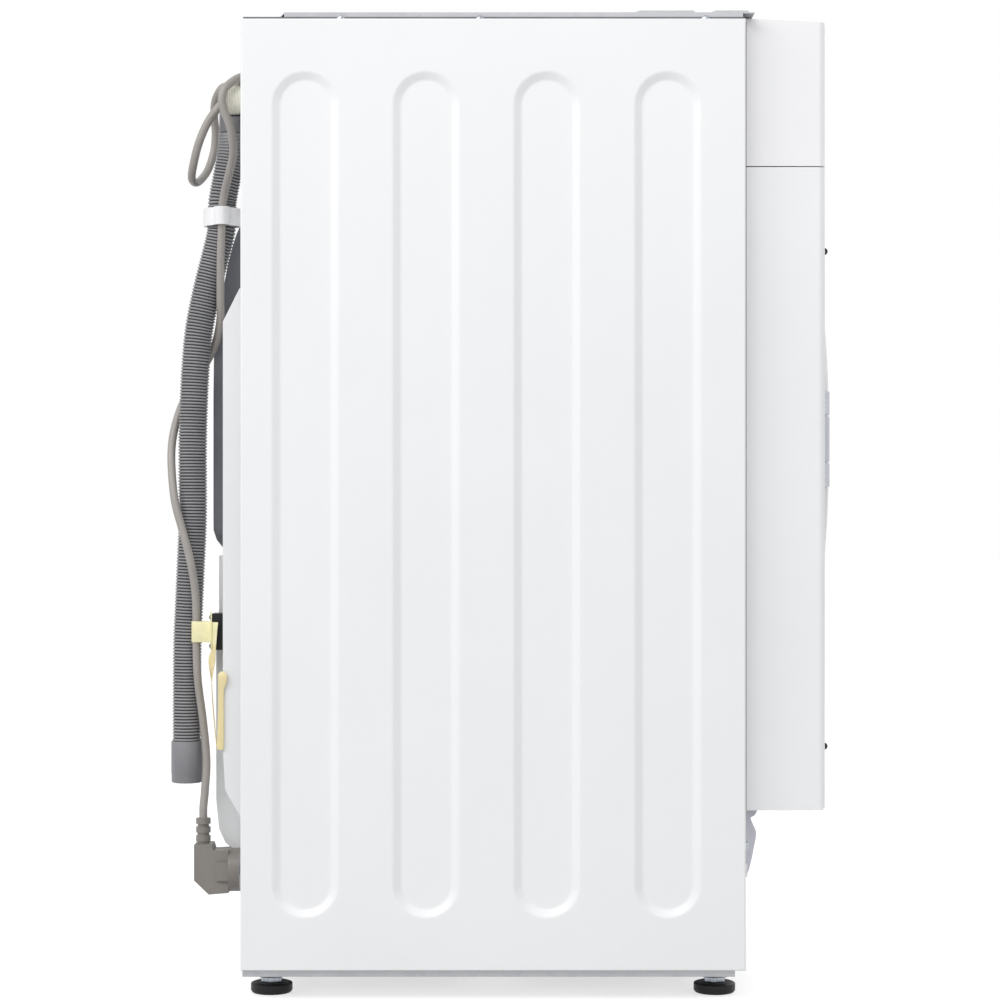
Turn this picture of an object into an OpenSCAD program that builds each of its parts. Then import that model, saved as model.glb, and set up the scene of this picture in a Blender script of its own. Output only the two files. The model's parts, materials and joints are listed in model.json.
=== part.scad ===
// Built-in front-loading washing machine: front faces -Y, rear +Y, up +Z, sizes in mm.
// The origin is on the floor under the middle of the machine.

/* [Cabinet] */
// Width over the two side panels
cab_w = 595; // [575:1:615]
// Depth of a side panel, front edge to rear edge
cab_d = 417.4; // [410:0.1:430]
// Height of a side panel
cab_h = 786.5; // [776:0.5:800]
// Height of the side panel's lower edge above the floor
cab_lift = 25.7; // [24:0.1:30]
// Thickness of the sheet steel
sheet_t = 1; // [0.8:0.1:1.5]
// Width of a side panel's front flange
flange_w = 32; // [28:1:36]
// Height of the top plate above the side panels
top_rise = 5.5; // [4:0.1:8]
// Height of the raised pads on the top plate
pad_rise = 2.3; // [1:0.1:4]

/* [Side ribs] */
// Width of a pressed rib at the panel's face
rib_w = 55; // [45:1:60]
// Width of the rib's flat floor
rib_floor_w = 42; // [30:1:42]
// Depth of the pressing
rib_deep = 3.5; // [2:0.5:5]
// Distance between neighbouring ribs
rib_pitch = 99.8; // [90:0.1:102]
// Distance from the panel's rear edge to the first rib
rib_first = 53.5; // [48:0.5:60]
// Margin between a rib's lower end and the panel's lower edge
rib_low = 44; // [40:1:60]
// Margin between a rib's upper end and the panel's upper edge
rib_high = 44; // [36:1:60]

/* [Front box] */
// Depth of the front box ahead of the side panels
box_d = 68.4; // [62:0.1:72]
// Inset of the front box from the side panel's face
box_inset = 20; // [15:1:24]
// Height of the front box's lower edge above the floor
box_low = 155.8; // [150:0.1:164]
// Height of the seam under the control panel
seam_z = 692.8; // [688:0.1:700]
// Height of the control panel's front edge
panel_front_z = 812.4; // [808:0.1:814]
// Radius of the front box's upright corners
corner_r = 6; // [3:0.5:10]
// Wall of the plastic control panel
panel_t = 2.5; // [2:0.1:3]

/* [Door] */
// Height of the door's and the drum's centre
axis_z = 467; // [462:1:472]
// Outer radius of the door
door_r = 190; // [186:1:194]
// How far the door's middle stands out of the front panel
door_bulge = 18.3; // [17:0.1:24]
// Radius of the sphere that the door's face is part of
dome_r = 4550; // [4000:50:6000]
// Radius of the hole in the front panel
port_r = 160; // [158:0.5:162]
// Gap between the closed door and the front panel
door_gap = 0.5; // [0.3:0.1:1]
// Radius of the glass bowl at the gasket
bowl_r = 148.5; // [146:0.5:149]
// Radius of the bowl's inner end
bowl_end_r = 120; // [110:1:125]
// Thickness of the glass
glass_t = 4; // [3:0.5:5]

/* [Drum and tub] */
// Gap between the drum and the outside of the tub
drum_gap = 26; // [22:1:33]
// Cabinet depth outside the drum, for the tub walls, hub and pulley
drum_margin = 121.4; // [119.4:0.1:132]
// Thickness of the drum's sheet
drum_t = 1.5; // [1:0.1:2]
// Radius of the drum's mouth
mouth_r = 152; // [148:1:156]
// Outer radius of the tub
tub_r = 258; // [256:1:262]
// Wall of the tub
tub_t = 3; // [2.5:0.1:3.5]
// Radius of the drum shaft
shaft_r = 12.5; // [10:0.5:14]
// Radius of the drum pulley
pulley_r = 132; // [120:1:134]
// Radius of the motor pulley
pinion_r = 9; // [8:0.5:11]
// Width of the belt
belt_w = 12; // [10:1:14]
// Radius of the motor's body
motor_r = 52; // [48:1:55]
// Wire-wound outer radius of a suspension spring
spring_r = 13; // [11:1:15]
// Outer radius of a damper's cylinder
damper_r = 13; // [12:0.5:15]
// Radius of a damper's rod
rod_r = 5; // [4:0.5:6]

/* [Controls] */
// Width of the drawer's front
drawer_w = 155; // [145:1:160]
// Height of the drawer's front
drawer_h = 82; // [76:1:86]
// Length of the drawer's tray
tray_l = 172; // [150:1:174]
// Radius of the programme dial
dial_r = 24; // [20:1:28]
// How far the dial stands out of the panel
dial_out = 15; // [12:1:18]
// Radius of a push button
button_r = 8; // [7:0.5:9]
// How far a button stands out of the panel
button_out = 2; // [1.5:0.1:3]
// Travel of a button
button_go = 1.5; // [1:0.1:2]
// Width of the display window
window_w = 96; // [80:1:100]
// Height of the display window
window_h = 36; // [30:1:40]

/* [Rear] */
// How far the rear panel lies ahead of the side panels' rear edges
rear_inset = 22; // [18:0.5:24]
// How far the wide pressed step stands out behind the side panels
step_a_out = 21; // [18:0.5:24]
// How far the lower pressed step stands out behind the side panels
step_b_out = 33; // [30:0.5:35]
// How far the moulded cover stands out behind the side panels
cover_out = 37.4; // [35:0.1:42]
// Half width of the moulded cover
cover_half = 162; // [156:1:163]
// Radius of the inlet spout's thread
spout_r = 13.22; // [12:0.01:14]
// How far the inlet spout stands out behind the side panels
spout_out = 19.3; // [17:0.1:19.6]

/* [Hose and lead] */
// Outer radius of the ribbed drain hose
hose_r = 12.5; // [11.5:0.1:12.6]
// Depth of a groove between the hose's ribs
groove = 1.6; // [1:0.1:2]
// Wall under the hose's grooves
hose_wall = 1.2; // [1:0.1:1.6]
// Outer radius of the hose's end cuff
cuff_r = 13.5; // [13:0.1:13.8]
// Length of the hose's end cuff
cuff_l = 36; // [30:1:40]
// Radius of the mains lead
lead_r = 3.5; // [3:0.1:3.6]

/* [Feet] */
// Radius of a foot's pad
foot_r = 17.5; // [16:0.5:19]
// Height of a foot's pad
foot_h = 9; // [8:0.5:10]
// Radius of a foot's threaded rod
stud_r = 4.9; // [4:0.1:5.5]
// Distance of a foot from the side panel's face
foot_in = 45; // [42:1:50]
// Distance of a rear foot from the side panel's rear edge
foot_rear = 22; // [18:0.5:30]
// Distance of a front foot from the side panel's front edge
foot_front = 22.3; // [20:0.1:30]

/* [Hidden] */
$fn = 64;

// Running and assembly clearances
play = 0.3;
run = 0.04;
tiny = 0.01;

// Main planes of the cabinet
y_rear = (cover_out + cab_d + box_d + door_bulge) / 2 - cover_out;
y_front = y_rear - cab_d;
y_face = y_front - box_d;
y_back = y_rear - rear_inset;
side_x = cab_w / 2;
inner_x = side_x - sheet_t;
box_half = side_x - box_inset;
cab_top = cab_lift + cab_h;
top_z = cab_top + top_rise;
lip_out = 7.5;
plate_top = 20;
base_top = 58;
lip_z = top_z - sheet_t;

// Tub group along the drum's axis
tub_front_y = y_front + 12;
drum_r = tub_r - drum_gap;
drum_l = cab_d - drum_margin;
tub_back_y = tub_front_y + drum_l + 38;
drum_y = tub_front_y + 24;
drum_end = drum_y + drum_l;
spider_t = 8;
tub_seam_y = tub_front_y + 120;
hub_r = 34;
hub_end = tub_back_y + 28;
bearing_r = 26;
pulley_y = hub_end + 9;
pulley_w = belt_w + 4;
tub_mouth_r = 165;
weight_r = tub_r - 8;
weight_in = tub_mouth_r + 23;
weight_t = 38;

// Motor and belt
motor_x = 90;
motor_z = 150;
motor_l = 180;
belt_t = 2.5;
belt_gap = 0.5;

// Springs and dampers
spring_x = tub_r - 30;
spring_y = 25;
spring_low = 640;
rail_t = 3;
rail_z = cab_top - 24;
damper_x = 175;
damper_y = 25;
beam_z = 62;
damper_h = 128;
lug_drop = 14;

// Control panel cut-outs
drawer_x0 = -box_half + 12;
drawer_z0 = seam_z + 15;
slit = 0.6;
tray_side = 7;
tray_t = 2;
tray_h = 58;
house_gap = 1.5;
board_y = y_face + 18;
board_z0 = seam_z + 22;
board_h = 76;
dial_x = drawer_x0 + drawer_w + 65.5;
control_z = seam_z + 60;
window_x = box_half - 199.5;
power_x = box_half - 123.5;
start_x = box_half - 87.5;
option_x = box_half - 51.5;
board_x0 = dial_x - 25;
board_w = option_x + 24 - board_x0;
boss_r = 4;
hinge_screws = [207.5, 623.5];

// Door details
seat_y = y_face - door_gap;
rim_r = door_r - 9;
ledge_y = y_face - 11.4;
glass_seat_y = y_face - 6.3;
glass_out_r = 164.3;
hinge_x = -door_r - 9;
hinge_y = y_face - 7.3;
pin_r = 4;
knuckle_r = 6;
hinge_half = 19.5;
latch_x = 171;
latch_pin_y = y_face - 5.5;
latch_tip_y = y_face + 17;

// Kick area and pump
flap_x0 = -side_x + 39.5;
flap_w = 118;
flap_low = 103;
flap_pin_r = 2.5;
pump_x = -side_x + 95.5;
pump_z = 125;
pump_r = 30;
filter_r = 22;
pump_front_y = y_front + 8;
pump_l = 84;
sump_y = pump_front_y + 56;
sump_r = 15;
sump_top = tub_low(pump_x) - 32.5;

// Rear details
step_a_half = side_x - 60.5;
step_a_low = 145;
step_a_high = 594;
step_b_half = side_x - 117.5;
step_b_low = 106;
step_b_high = 366;
cover_low = 367;
cover_high = 664;
cover_t = 2.5;
service_r = 98;
spout_x = -side_x + 65;
spout_z = 753.8;
thread_l = 12.8;
elbow_z = 768;
elbow_r = 10.8;
elbow_bend = 18;
hose_x = -side_x + 105.5;
gland_x = -side_x + 137.5;
gland_z = 778;
gland_y = y_back + 44;
clip_z = 659;
clip_h = 15.5;
block_x = -side_x + 91.5;
block_z = 301.5;
block_h = 31;
block_y = y_rear + step_a_out;
lead_x = -side_x + 90.5;
plug_z = 96.5;
plug_y = y_rear + 41;
clip_y = y_rear + 26.5;
strap_y = y_rear + 46.5;

// Centres of the drain hose from the elbow to the cuff's end: X, distance behind the side panel, Z
hose_route = [[-192, 17, 750], [-192, 17, 742], [-192, 17, 733], [-192, 18.5, 715],
    [-192, 22.5, 693], [-192, 26, 674], [-192, 26.5, 660], [-192, 27.5, 646], [-192, 32.5, 625],
    [-192, 40, 595], [-192, 46.5, 562], [-192, 49.5, 530], [-192, 51, 500], [-192, 52, 460],
    [-192, 52, 400], [-192, 53.5, 362], [-192, 55, 328], [-192, 56.5, 293], [-192, 57, 241],
    [-192, 57, 206], [-192, 57, 170]];
hose_ribs = 196;

// Centres of the mains lead from the gland to the plug, measured the same way
lead_route = [[-160, 22, gland_z], [-160, 28, gland_z], [-158, 32, 775], [-151, 37, 767],
    [-142, 39, 755], [-135, 38.5, 741], [-133, 40, 725.5], [-138, 44.5, 708.5], [-151, 49.5, 697.5],
    [-168, 52.5, 692.5], [-186, 53.5, 694.5], [-199, 50.5, 704.5], [-206, 45, 722], [-207, 37, 740],
    [-206, 27, 754], [-207, 18, 764], [-213, 10, 771], [-225, 6, 775], [-238, 7, 773], [-247, 12, 768],
    [-252, 18, 761], [-253, 20, 752],
    [-252, 18, 742], [-250, 14, 732], [-246, 12, 722], [-238, 12, 709], [-227, 16, 696], [-216, 21, 682],
    [-210, 24, 670], [-209, 25, 659], [-209, 25, 648], [-208, 26, 621], [-201, 27, 587], [-193, 28, 570],
    [-182, 34, 549], [-175, 46, 528], [-176, 59, 506], [-181, 66, 488], [-188, 70, 467], [-195, 70, 445],
    [-204, 66, 414], [-208, 59, 389], [-210, 52, 363], [-208, 48, 337], [-207, 47, 311], [-207, 47, 291],
    [-205, 46, 259], [-201, 42, 224], [-201, 39, 190], [-204, 40, 164], [-207, 41, 150],
    [-207, 41, 141]];

// A route's points in the machine's frame, kept beside the side panel
function placed(route) = [for (p = route) [p[0] + 297.5 - side_x, y_rear + p[1], p[2]]];

// Cylinder along Y from y0 to y1
module rod_y(x, z, y0, y1, r) {
    translate([x, y0, z]) rotate([-90, 0, 0]) cylinder(h = y1 - y0, r = r);
}

// Ring along Y
module ring_y(x, z, y0, y1, r, bore) {
    difference() {
        rod_y(x, z, y0, y1, r);
        rod_y(x, z, y0 - 1, y1 + 1, bore);
    }
}

// Box between two corners
module block(a, b) {
    translate(a) cube([b[0] - a[0], b[1] - a[1], b[2] - a[2]]);
}

// Solid of revolution about the drum's axis, from points of radius and Y
module spin_y(points, angle = 360, from = 0) {
    translate([0, 0, axis_z]) rotate([-90, 0, 0]) rotate([0, 0, from])
        rotate_extrude(angle = angle) polygon(points);
}

// Outline extruded along X, from points of Y and Z
module bar_x(x0, x1, points) {
    translate([x0, 0, 0]) rotate([90, 0, 90]) linear_extrude(height = x1 - x0) polygon(points);
}

// Both copies of a part, left and right
module pair() {
    children();
    mirror([1, 0, 0]) children();
}

// Smooth curve through hand-placed points
function curve_at(p, i, t) = let (
        n = len(p),
        a = p[max(i - 1, 0)],
        b = p[i],
        c = p[min(i + 1, n - 1)],
        d = p[min(i + 2, n - 1)]
    ) 0.5 * (2 * b + (c - a) * t + (2 * a - 5 * b + 4 * c - d) * t * t
        + (3 * b - a - 3 * c + d) * t * t * t);
function smooth(p, steps) = concat(
    [for (i = [0 : len(p) - 2], k = [0 : steps - 1]) curve_at(p, i, k / steps)], [p[len(p) - 1]]);

// Running length at each point of a line
function lengths(p, i = 0, sum = 0, out = []) = i == len(p) ? out
    : let (s = i == 0 ? 0 : sum + norm(p[i] - p[i - 1])) lengths(p, i + 1, s, concat(out, [s]));

// Index of the last point whose running length is not past s
function before(l, s, low, high) = high - low <= 1 ? low
    : let (mid = floor((low + high) / 2)) l[mid] > s ? before(l, s, low, mid) : before(l, s, mid, high);

// Place on a line at the running length s
function place(p, l, s) = let (i = before(l, s, 0, len(p) - 1),
    t = min(1, max(0, (s - l[i]) / max(tiny, l[i + 1] - l[i])))) p[i] + (p[i + 1] - p[i]) * t;

function unit(v) = v / max(norm(v), 1e-9);
function heading(p, i) = unit(p[min(i + 1, len(p) - 1)] - p[max(i - 1, 0)]);

// Sideways directions carried along a line without twist
function carried(p, i = 0, last = [1, 0, 0], out = []) = i == len(p) ? out
    : let (t = heading(p, i), n = unit(last - t * (last * t))) carried(p, i + 1, n, concat(out, [n]));

// Closed tube along ring centres p with ring radii r, and an optional bore
module sweep(p, r, sides, bore = 0) {
    n = len(p);
    side = carried(p);
    function ring(i, rad) = let (t = heading(p, i), a = side[i], b = cross(t, a))
        [for (k = [0 : sides - 1]) p[i] + rad * (cos(360 * k / sides) * a + sin(360 * k / sides) * b)];
    outer = [for (i = [0 : n - 1]) each ring(i, r[i])];
    skin = [for (i = [0 : n - 2], k = [0 : sides - 1]) let (m = (k + 1) % sides)
        each [[i * sides + k, (i + 1) * sides + k, (i + 1) * sides + m],
              [i * sides + k, (i + 1) * sides + m, i * sides + m]]];
    if (bore == 0) {
        caps = [[for (k = [0 : sides - 1]) k], [for (k = [sides - 1 : -1 : 0]) (n - 1) * sides + k]];
        polyhedron(outer, concat(skin, caps));
    } else {
        pick = [for (i = [0 : n - 1]) if (i == 0 || i == n - 1 || i % 16 == 8) i];
        m0 = n * sides;
        inner = [for (i = pick) each ring(i, bore)];
        q = len(pick);
        lining = [for (i = [0 : q - 2], k = [0 : sides - 1]) let (m = (k + 1) % sides)
            each [[m0 + i * sides + k, m0 + (i + 1) * sides + m, m0 + (i + 1) * sides + k],
                  [m0 + i * sides + k, m0 + i * sides + m, m0 + (i + 1) * sides + m]]];
        ends = [for (k = [0 : sides - 1]) let (m = (k + 1) % sides, e = (n - 1) * sides,
                f = m0 + (q - 1) * sides)
            each [[k, m, m0 + m], [k, m0 + m, m0 + k],
                  [e + k, f + m, e + m], [e + k, f + k, f + m]]];
        polyhedron(concat(outer, inner), concat(skin, lining, ends));
    }
}

// Stadium-shaped pressing: sloped rim, flat floor, standing upright on the -X side
module pressing(grow, deep) {
    z0 = cab_lift + rib_low + rib_w / 2;
    z1 = cab_top - rib_high - rib_w / 2;
    w0 = rib_w / 2 + grow;
    w1 = rib_floor_w / 2 + grow;
    for (i = [0 : 3]) {
        y = y_rear - rib_first - i * rib_pitch;
        for (z = [z0, z1]) translate([-side_x, y, z]) rotate([0, 90, 0]) cylinder(h = deep, r1 = w0, r2 = w1);
        translate([-side_x, y, z0]) linear_extrude(height = z1 - z0)
            polygon([[0, -w0], [deep, -w1], [deep, w1], [0, w0]]);
    }
}

module side_shell() {
    difference() {
        union() {
            block([-side_x, y_front, cab_lift], [-inner_x, y_rear, cab_top]);
            block([-side_x, y_front, cab_lift], [-side_x + flange_w, y_front + sheet_t, cab_top]);
            block([-side_x, y_rear - sheet_t, cab_lift], [-side_x + flange_w / 2, y_rear, cab_top]);
            block([-side_x, y_front, cab_lift], [-side_x + 4, y_rear, cab_lift + sheet_t]);
            pressing(sheet_t, rib_deep + sheet_t);
        }
        translate([-tiny, 0, 0]) pressing(0, rib_deep);
    }
}

module side_panel_left() {
    color("#F0F0F2") side_shell();
}

module side_panel_right() {
    color("#F0F0F2") mirror([1, 0, 0]) side_shell();
}

// Envelope of the rear panel's pressed steps, shrunk by t
module steps(t) {
    bar_x(-step_a_half + t, step_a_half - t, [[y_back - 2 * t - tiny, step_a_low - 18 + t],
        [y_rear + 6 - t, step_a_low + t], [y_rear + step_a_out - 2 - t, step_a_low + 23 + t],
        [y_rear + step_a_out - t, step_a_low + 57],
        [y_rear + step_a_out - t, step_a_high - 28 - t], [y_rear + 7 - t, step_a_high - t],
        [y_rear - 1 - t, step_a_high + 4 - t], [y_back + 6 - t, step_a_high + 22 - t],
        [y_back - 2 * t - tiny, step_a_high + 24 - t]]);
    bar_x(-step_b_half + t, step_b_half - t, [[y_back - 2 * t - tiny, step_b_low - 8 + t],
        [y_rear + 14 - t, step_b_low + t], [y_rear + 25 - t, step_b_low + 10 + t],
        [y_rear + step_b_out - 2.5 - t, step_b_low + 22 + t], [y_rear + step_b_out - t, step_b_low + 47],
        [y_rear + step_b_out - t, step_b_high - 76], [y_rear + step_b_out - 2.5 - t, step_b_high - 46],
        [y_rear + step_b_out - 2.5 - t, step_b_high - t],
        [y_back - 2 * t - tiny, step_b_high - t]]);
}

module rear_panel() {
    half = inner_x - 0.1;
    low = base_top + tiny;
    color("#EDEEF0") difference() {
        union() {
            block([-half, y_back - sheet_t, low], [half, y_back, cab_top - 1]);
            pair() block([-half, y_back - sheet_t, low], [-half + sheet_t, y_rear - sheet_t, cab_top - 1]);
            block([-half, y_back - 10, cab_top - 1 - sheet_t], [half, y_back, cab_top - 1]);
            steps(0);
        }
        steps(sheet_t);
        rod_y(0, axis_z, y_back - 30, y_rear + 80, service_r);
        rod_y(spout_x, spout_z, y_back - 5, y_back + 5, spout_r + play);
        rod_y(hose_x, elbow_z, y_back - 5, y_back + 5, elbow_r + play);
        rod_y(gland_x, gland_z, y_back - 5, y_back + 5, 8 + play);
    }
}

// Moulded cover's outer form, drawn in by t
module cover_form(t) {
    y = y_rear + cover_out - t;
    bar_x(-cover_half + t, cover_half - t, [[y_back - 4 * t, cover_low + t], [y - 11, cover_low + t],
        [y - 6, cover_low + 7 + t], [y - 2.3, cover_low + 12.5 + t], [y, cover_low + 21 + t], [y, cover_low + 140],
        [y - 0.5, cover_high - 118], [y - 5, cover_high - 83], [y - 13, cover_high - 41],
        [y - 20, cover_high - 15 - t], [y - 25, cover_high - t], [y_back - 4 * t, cover_high - t]]);
}

// Rounded plate standing in the XZ plane
module tile(half, z0, z1, r, y0, y1) {
    translate([0, y1, 0]) rotate([90, 0, 0]) linear_extrude(height = y1 - y0) {
        translate([-half, z0 + r]) square([2 * half, z1 - z0 - 2 * r]);
        translate([-half + r, z0]) square([2 * half - 2 * r, z1 - z0]);
        for (x = [-1, 1], z = [z0 + r, z1 - r]) translate([x * (half - r), z]) circle(r = r);
    }
}

module rear_cover() {
    color("#55565B") difference() {
        intersection() {
            cover_form(0);
            tile(cover_half, cover_low, cover_high, 30, y_back + tiny, y_back + 100);
        }
        intersection() {
            cover_form(cover_t);
            tile(cover_half - cover_t, cover_low + cover_t, cover_high - cover_t, 30 - cover_t, y_back, y_back + 100);
        }
        steps(0);
    }
}

module top_plate() {
    half = inner_x - 2.2;
    y0 = y_front - lip_out;
    y1 = y_rear - 36;
    color("#CFCED2") {
        difference() {
            bar_x(-half, half, [[y0, lip_z], [y1 - 0.3, lip_z], [y1 + 4.8, cab_top - 0.8],
                [y1 + 6, cab_top - 0.8], [y1, top_z], [y0, top_z]]);
            for (x = [-1, 1], y = [-60, 60]) translate([x * 200, y, lip_z - 1]) cylinder(h = 5, r = 3);
        }
        pair() block([-half, y_front + 2, cab_top - 12], [-half + sheet_t, y1, lip_z + tiny]);
        pair() for (y = [[y_front - 5, y_front + 30], [y_front + 40, y_front + 93]])
            bar_x(-half + 4, -half + 44, [[y[0], top_z - tiny], [y[0] + 3, top_z + pad_rise],
                [y[1] - 6, top_z + pad_rise], [y[1], top_z - tiny]]);
    }
}

// The four places of the feet
foot_x = side_x - foot_in;
foot_y = [y_rear - foot_rear, y_front + foot_front];

module each_foot() {
    for (x = [-foot_x, foot_x], y = foot_y) translate([x, y, 0]) children();
}

module base_frame() {
    x1 = inner_x - 3.7;
    y0 = y_front + 8.6;
    y1 = y_rear - sheet_t - 0.2;
    color("#C9CBCF") difference() {
        union() {
            difference() {
                block([-x1, y0, plate_top], [x1, y1, base_top]);
                block([-x1 + 2, y0 + 2, plate_top + 2], [x1 - 2, y1 - 2, 60]);
                block([-x1 + 62, y_front + 41, plate_top - 1], [x1 - 62, y1 - 38, 60]);
            }
            each_foot() translate([0, 0, plate_top]) cylinder(h = 25, r = 12);
            difference() {
                block([-x1, damper_y - 24, plate_top], [x1, damper_y + 24, beam_z]);
                block([-x1 + 2, damper_y - 22, plate_top + 2], [x1 - 2, damper_y + 22, beam_z - 2]);
            }
            block([pump_x - 34, pump_front_y + 10, plate_top], [pump_x + 24, pump_front_y + 18, pump_z - pump_r]);
            block([pump_x - 34, pump_front_y + 60, plate_top], [pump_x + 24, pump_front_y + 68, pump_z - pump_r]);
        }
        each_foot() translate([0, 0, plate_top - 1]) cylinder(h = 40, r = stud_r + play);
        rod_y(pump_x, pump_z, pump_front_y, pump_front_y + pump_l, pump_r);
    }
}

module cross_rails() {
    half = inner_x - 3.4;
    color("#C9CBCF") {
        block([-half, y_front + sheet_t, cab_top - 17], [half, y_front + 33, cab_top - 1]);
        block([-half, y_back - 45, cab_top - 17], [half, y_back - 11, cab_top - 1]);
        difference() {
            block([-inner_x, spring_y - 18, rail_z], [inner_x, spring_y + 18, cab_top - 13]);
            block([-inner_x + 90, spring_y - 15, rail_z - 1], [inner_x - 90, spring_y + 15, rail_z + 6]);
        }
        pair() translate([-spring_x, spring_y, rail_z - 9]) cylinder(h = 9 + tiny, r = 5);
    }
}

// Outline of the front box in plan, with rounded front corners, drawn in by t
module box_plan(t) {
    w = box_half - t;
    r = corner_r - t / 2;
    y0 = y_face + t;
    translate([-w, y0 + r]) square([2 * w, y_front - y0 - r]);
    translate([-w + r, y0]) square([2 * w - 2 * r, r + 1]);
    for (s = [-1, 1]) translate([s * (w - r), y0 + r]) circle(r = r);
}

module front_panel() {
    t = sheet_t + 0.2;
    z1 = seam_z - 0.8;
    color("#EFEFF1") difference() {
        union() {
            difference() {
                translate([0, 0, box_low]) linear_extrude(height = z1 - box_low) box_plan(0);
                translate([0, 0, box_low + t]) linear_extrude(height = z1 - box_low - 2 * t) box_plan(t);
                block([-box_half + t, y_front - 5, box_low + t], [box_half - t, y_front + 1, z1 - t]);
                block([-box_half + t, y_face + 24, z1 - 20], [box_half - t, y_front + 1, z1 + 1]);
            }
            ring_y(0, axis_z, y_face + t / 2, y_face + 10, port_r + t, port_r);
        }
        block([-box_half - 1, y_face - 1, box_low - 1], [box_half + 1, y_face + 1.6, box_low + 1.6]);
        rod_y(0, axis_z, y_face - 1, y_face + 12, port_r);
        block([latch_x - 7, y_face - 1, axis_z - 13], [latch_x + 9, y_face + 12, axis_z + 13]);
    }
}

// Top line of the control panel
function panel_z(y) = panel_front_z + (lip_z - 0.9 - panel_front_z) * (y - y_face) / box_d;

module control_body(t) {
    intersection() {
        translate([0, 0, seam_z]) linear_extrude(height = 200) box_plan(t);
        bar_x(-box_half, box_half, [[y_face - 1, seam_z + t], [y_front + 1, seam_z + t],
            [y_front + 1, panel_z(y_front) - t], [y_face - 1, panel_z(y_face) - t]]);
    }
}

function button_xs() = [power_x, start_x, option_x];

module control_panel() {
    bosses = [[board_x0 + 8, board_z0 + 8], [board_x0 + 8, board_z0 + board_h - 8],
        [board_x0 + board_w - 8, board_z0 + 8], [board_x0 + board_w - 8, board_z0 + board_h - 8]];
    color("#F2F2F4") difference() {
        union() {
            difference() {
                control_body(0);
                control_body(panel_t);
                block([-box_half + panel_t, y_front - 10, seam_z + panel_t],
                    [box_half - panel_t, y_front + 1, lip_z - 3.6]);
                block([-box_half + panel_t, y_face + 24, seam_z - 1], [box_half - panel_t, y_front + 1, seam_z + 20]);
            }
            for (p = bosses) rod_y(p[0], p[1], y_face + panel_t - tiny, board_y, boss_r);
        }
        block([drawer_x0 - slit, y_face - 1, drawer_z0 - slit],
            [drawer_x0 + drawer_w + slit, y_face + panel_t + 1, drawer_z0 + drawer_h + slit]);
        block([window_x - window_w / 2, y_face - 1, control_z - window_h / 2],
            [window_x + window_w / 2, y_face + panel_t + 1, control_z + window_h / 2]);
        rod_y(dial_x, control_z, y_face - 1, y_face + panel_t + 1, 6);
        for (x = button_xs()) rod_y(x, control_z, y_face - 1, y_face + panel_t + 1, button_r + play);
    }
}

module kick_panel() {
    color("#E6E7EC") difference() {
        union() {
            difference() {
                block([-inner_x + 0.2, y_front + sheet_t, plate_top + 8], [inner_x - 0.2, y_front + 2, box_low + 22]);
                block([flap_x0 - 1, y_front - 1, flap_low - 6], [flap_x0 + flap_w + 1, y_front + 5, box_low - 1]);
            }
            // Ears that hold the flap's pin
            for (x = [flap_x0 - 5, flap_x0 + flap_w + 1])
                block([x, y_front - 4.6, flap_low - 4.6], [x + 4, y_front + sheet_t + tiny, flap_low + 6]);
        }
        translate([flap_x0 - 6, y_front - 1, flap_low]) rotate([0, 90, 0])
            cylinder(h = flap_w + 12, r = flap_pin_r + run);
    }
}

module filter_flap() {
    color("#D9DBE6") {
        difference() {
            bar_x(flap_x0, flap_x0 + flap_w, [[y_front - 0.4, box_low - 1.2], [y_front - 13.4, box_low - 1.2],
                [y_front - 13.2, box_low - 2.8], [y_front - 11.4, box_low - 6.4], [y_front - 7.7, box_low - 8.4],
                [y_front - 8.3, box_low - 10.6], [y_front - 10.5, box_low - 15.6], [y_front - 12.1, box_low - 19],
                [y_front - 12.4, box_low - 22], [y_front - 12, box_low - 26.2], [y_front - 10.5, box_low - 33.3],
                [y_front - 8.7, box_low - 42.7], [y_front - 6.4, flap_low + 0.7], [y_front - 5.2, flap_low - 2.5],
                [y_front + 0.5, flap_low - 2.5], [y_front + 1.5, flap_low], [y_front, flap_low + 6]]);
            bar_x(flap_x0 + 2, flap_x0 + flap_w - 2, [[y_front, box_low - 13], [y_front - 8, box_low - 18.5],
                [y_front - 9.7, box_low - 22], [y_front - 9.3, box_low - 26.2], [y_front - 7.9, box_low - 33],
                [y_front - 5, box_low - 42.6], [y_front, box_low - 43.5]]);
        }
        translate([flap_x0 - 4, y_front - 1, flap_low]) rotate([0, 90, 0])
            cylinder(h = flap_w + 8, r = flap_pin_r);
    }
}

module control_board() {
    color("#2E6B4A") difference() {
        block([board_x0, board_y, board_z0], [board_x0 + board_w, board_y + 1.6, board_z0 + board_h]);
        rod_y(dial_x, control_z, board_y - 1, board_y + 3, 5);
    }
    color("#15171A") {
        block([window_x - window_w / 2 - 3, y_face + panel_t, control_z - window_h / 2 - 3],
            [window_x + window_w / 2 + 3, board_y, control_z + window_h / 2 + 3]);
        block([window_x - window_w / 2 + 0.2, y_face + 0.3, control_z - window_h / 2 + 0.2],
            [window_x + window_w / 2 - 0.2, y_face + panel_t + tiny, control_z + window_h / 2 - 0.2]);
        for (x = button_xs()) block([x - 4, board_y - 4, control_z - 4], [x + 4, board_y, control_z + 4]);
        ring_y(dial_x, control_z, board_y + 1.6, board_y + 9, 11, 3.06);
    }
}

module program_dial() {
    color("#D5D6DA") difference() {
        union() {
            rod_y(dial_x, control_z, y_face - dial_out, y_face - play, dial_r);
            rod_y(dial_x, control_z, y_face - tiny - play, board_y + 8, 3);
        }
        for (i = [0 : 23]) rotate_about(dial_x, control_z, 15 * i)
            rod_y(dial_x + dial_r + 1.2, control_z, y_face - dial_out - 1, y_face - 4, 2);
        block([dial_x - 1, y_face - dial_out - 1, control_z + dial_r - 12],
            [dial_x + 1, y_face - dial_out + 0.6, control_z + dial_r - 2]);
    }
}

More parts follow.
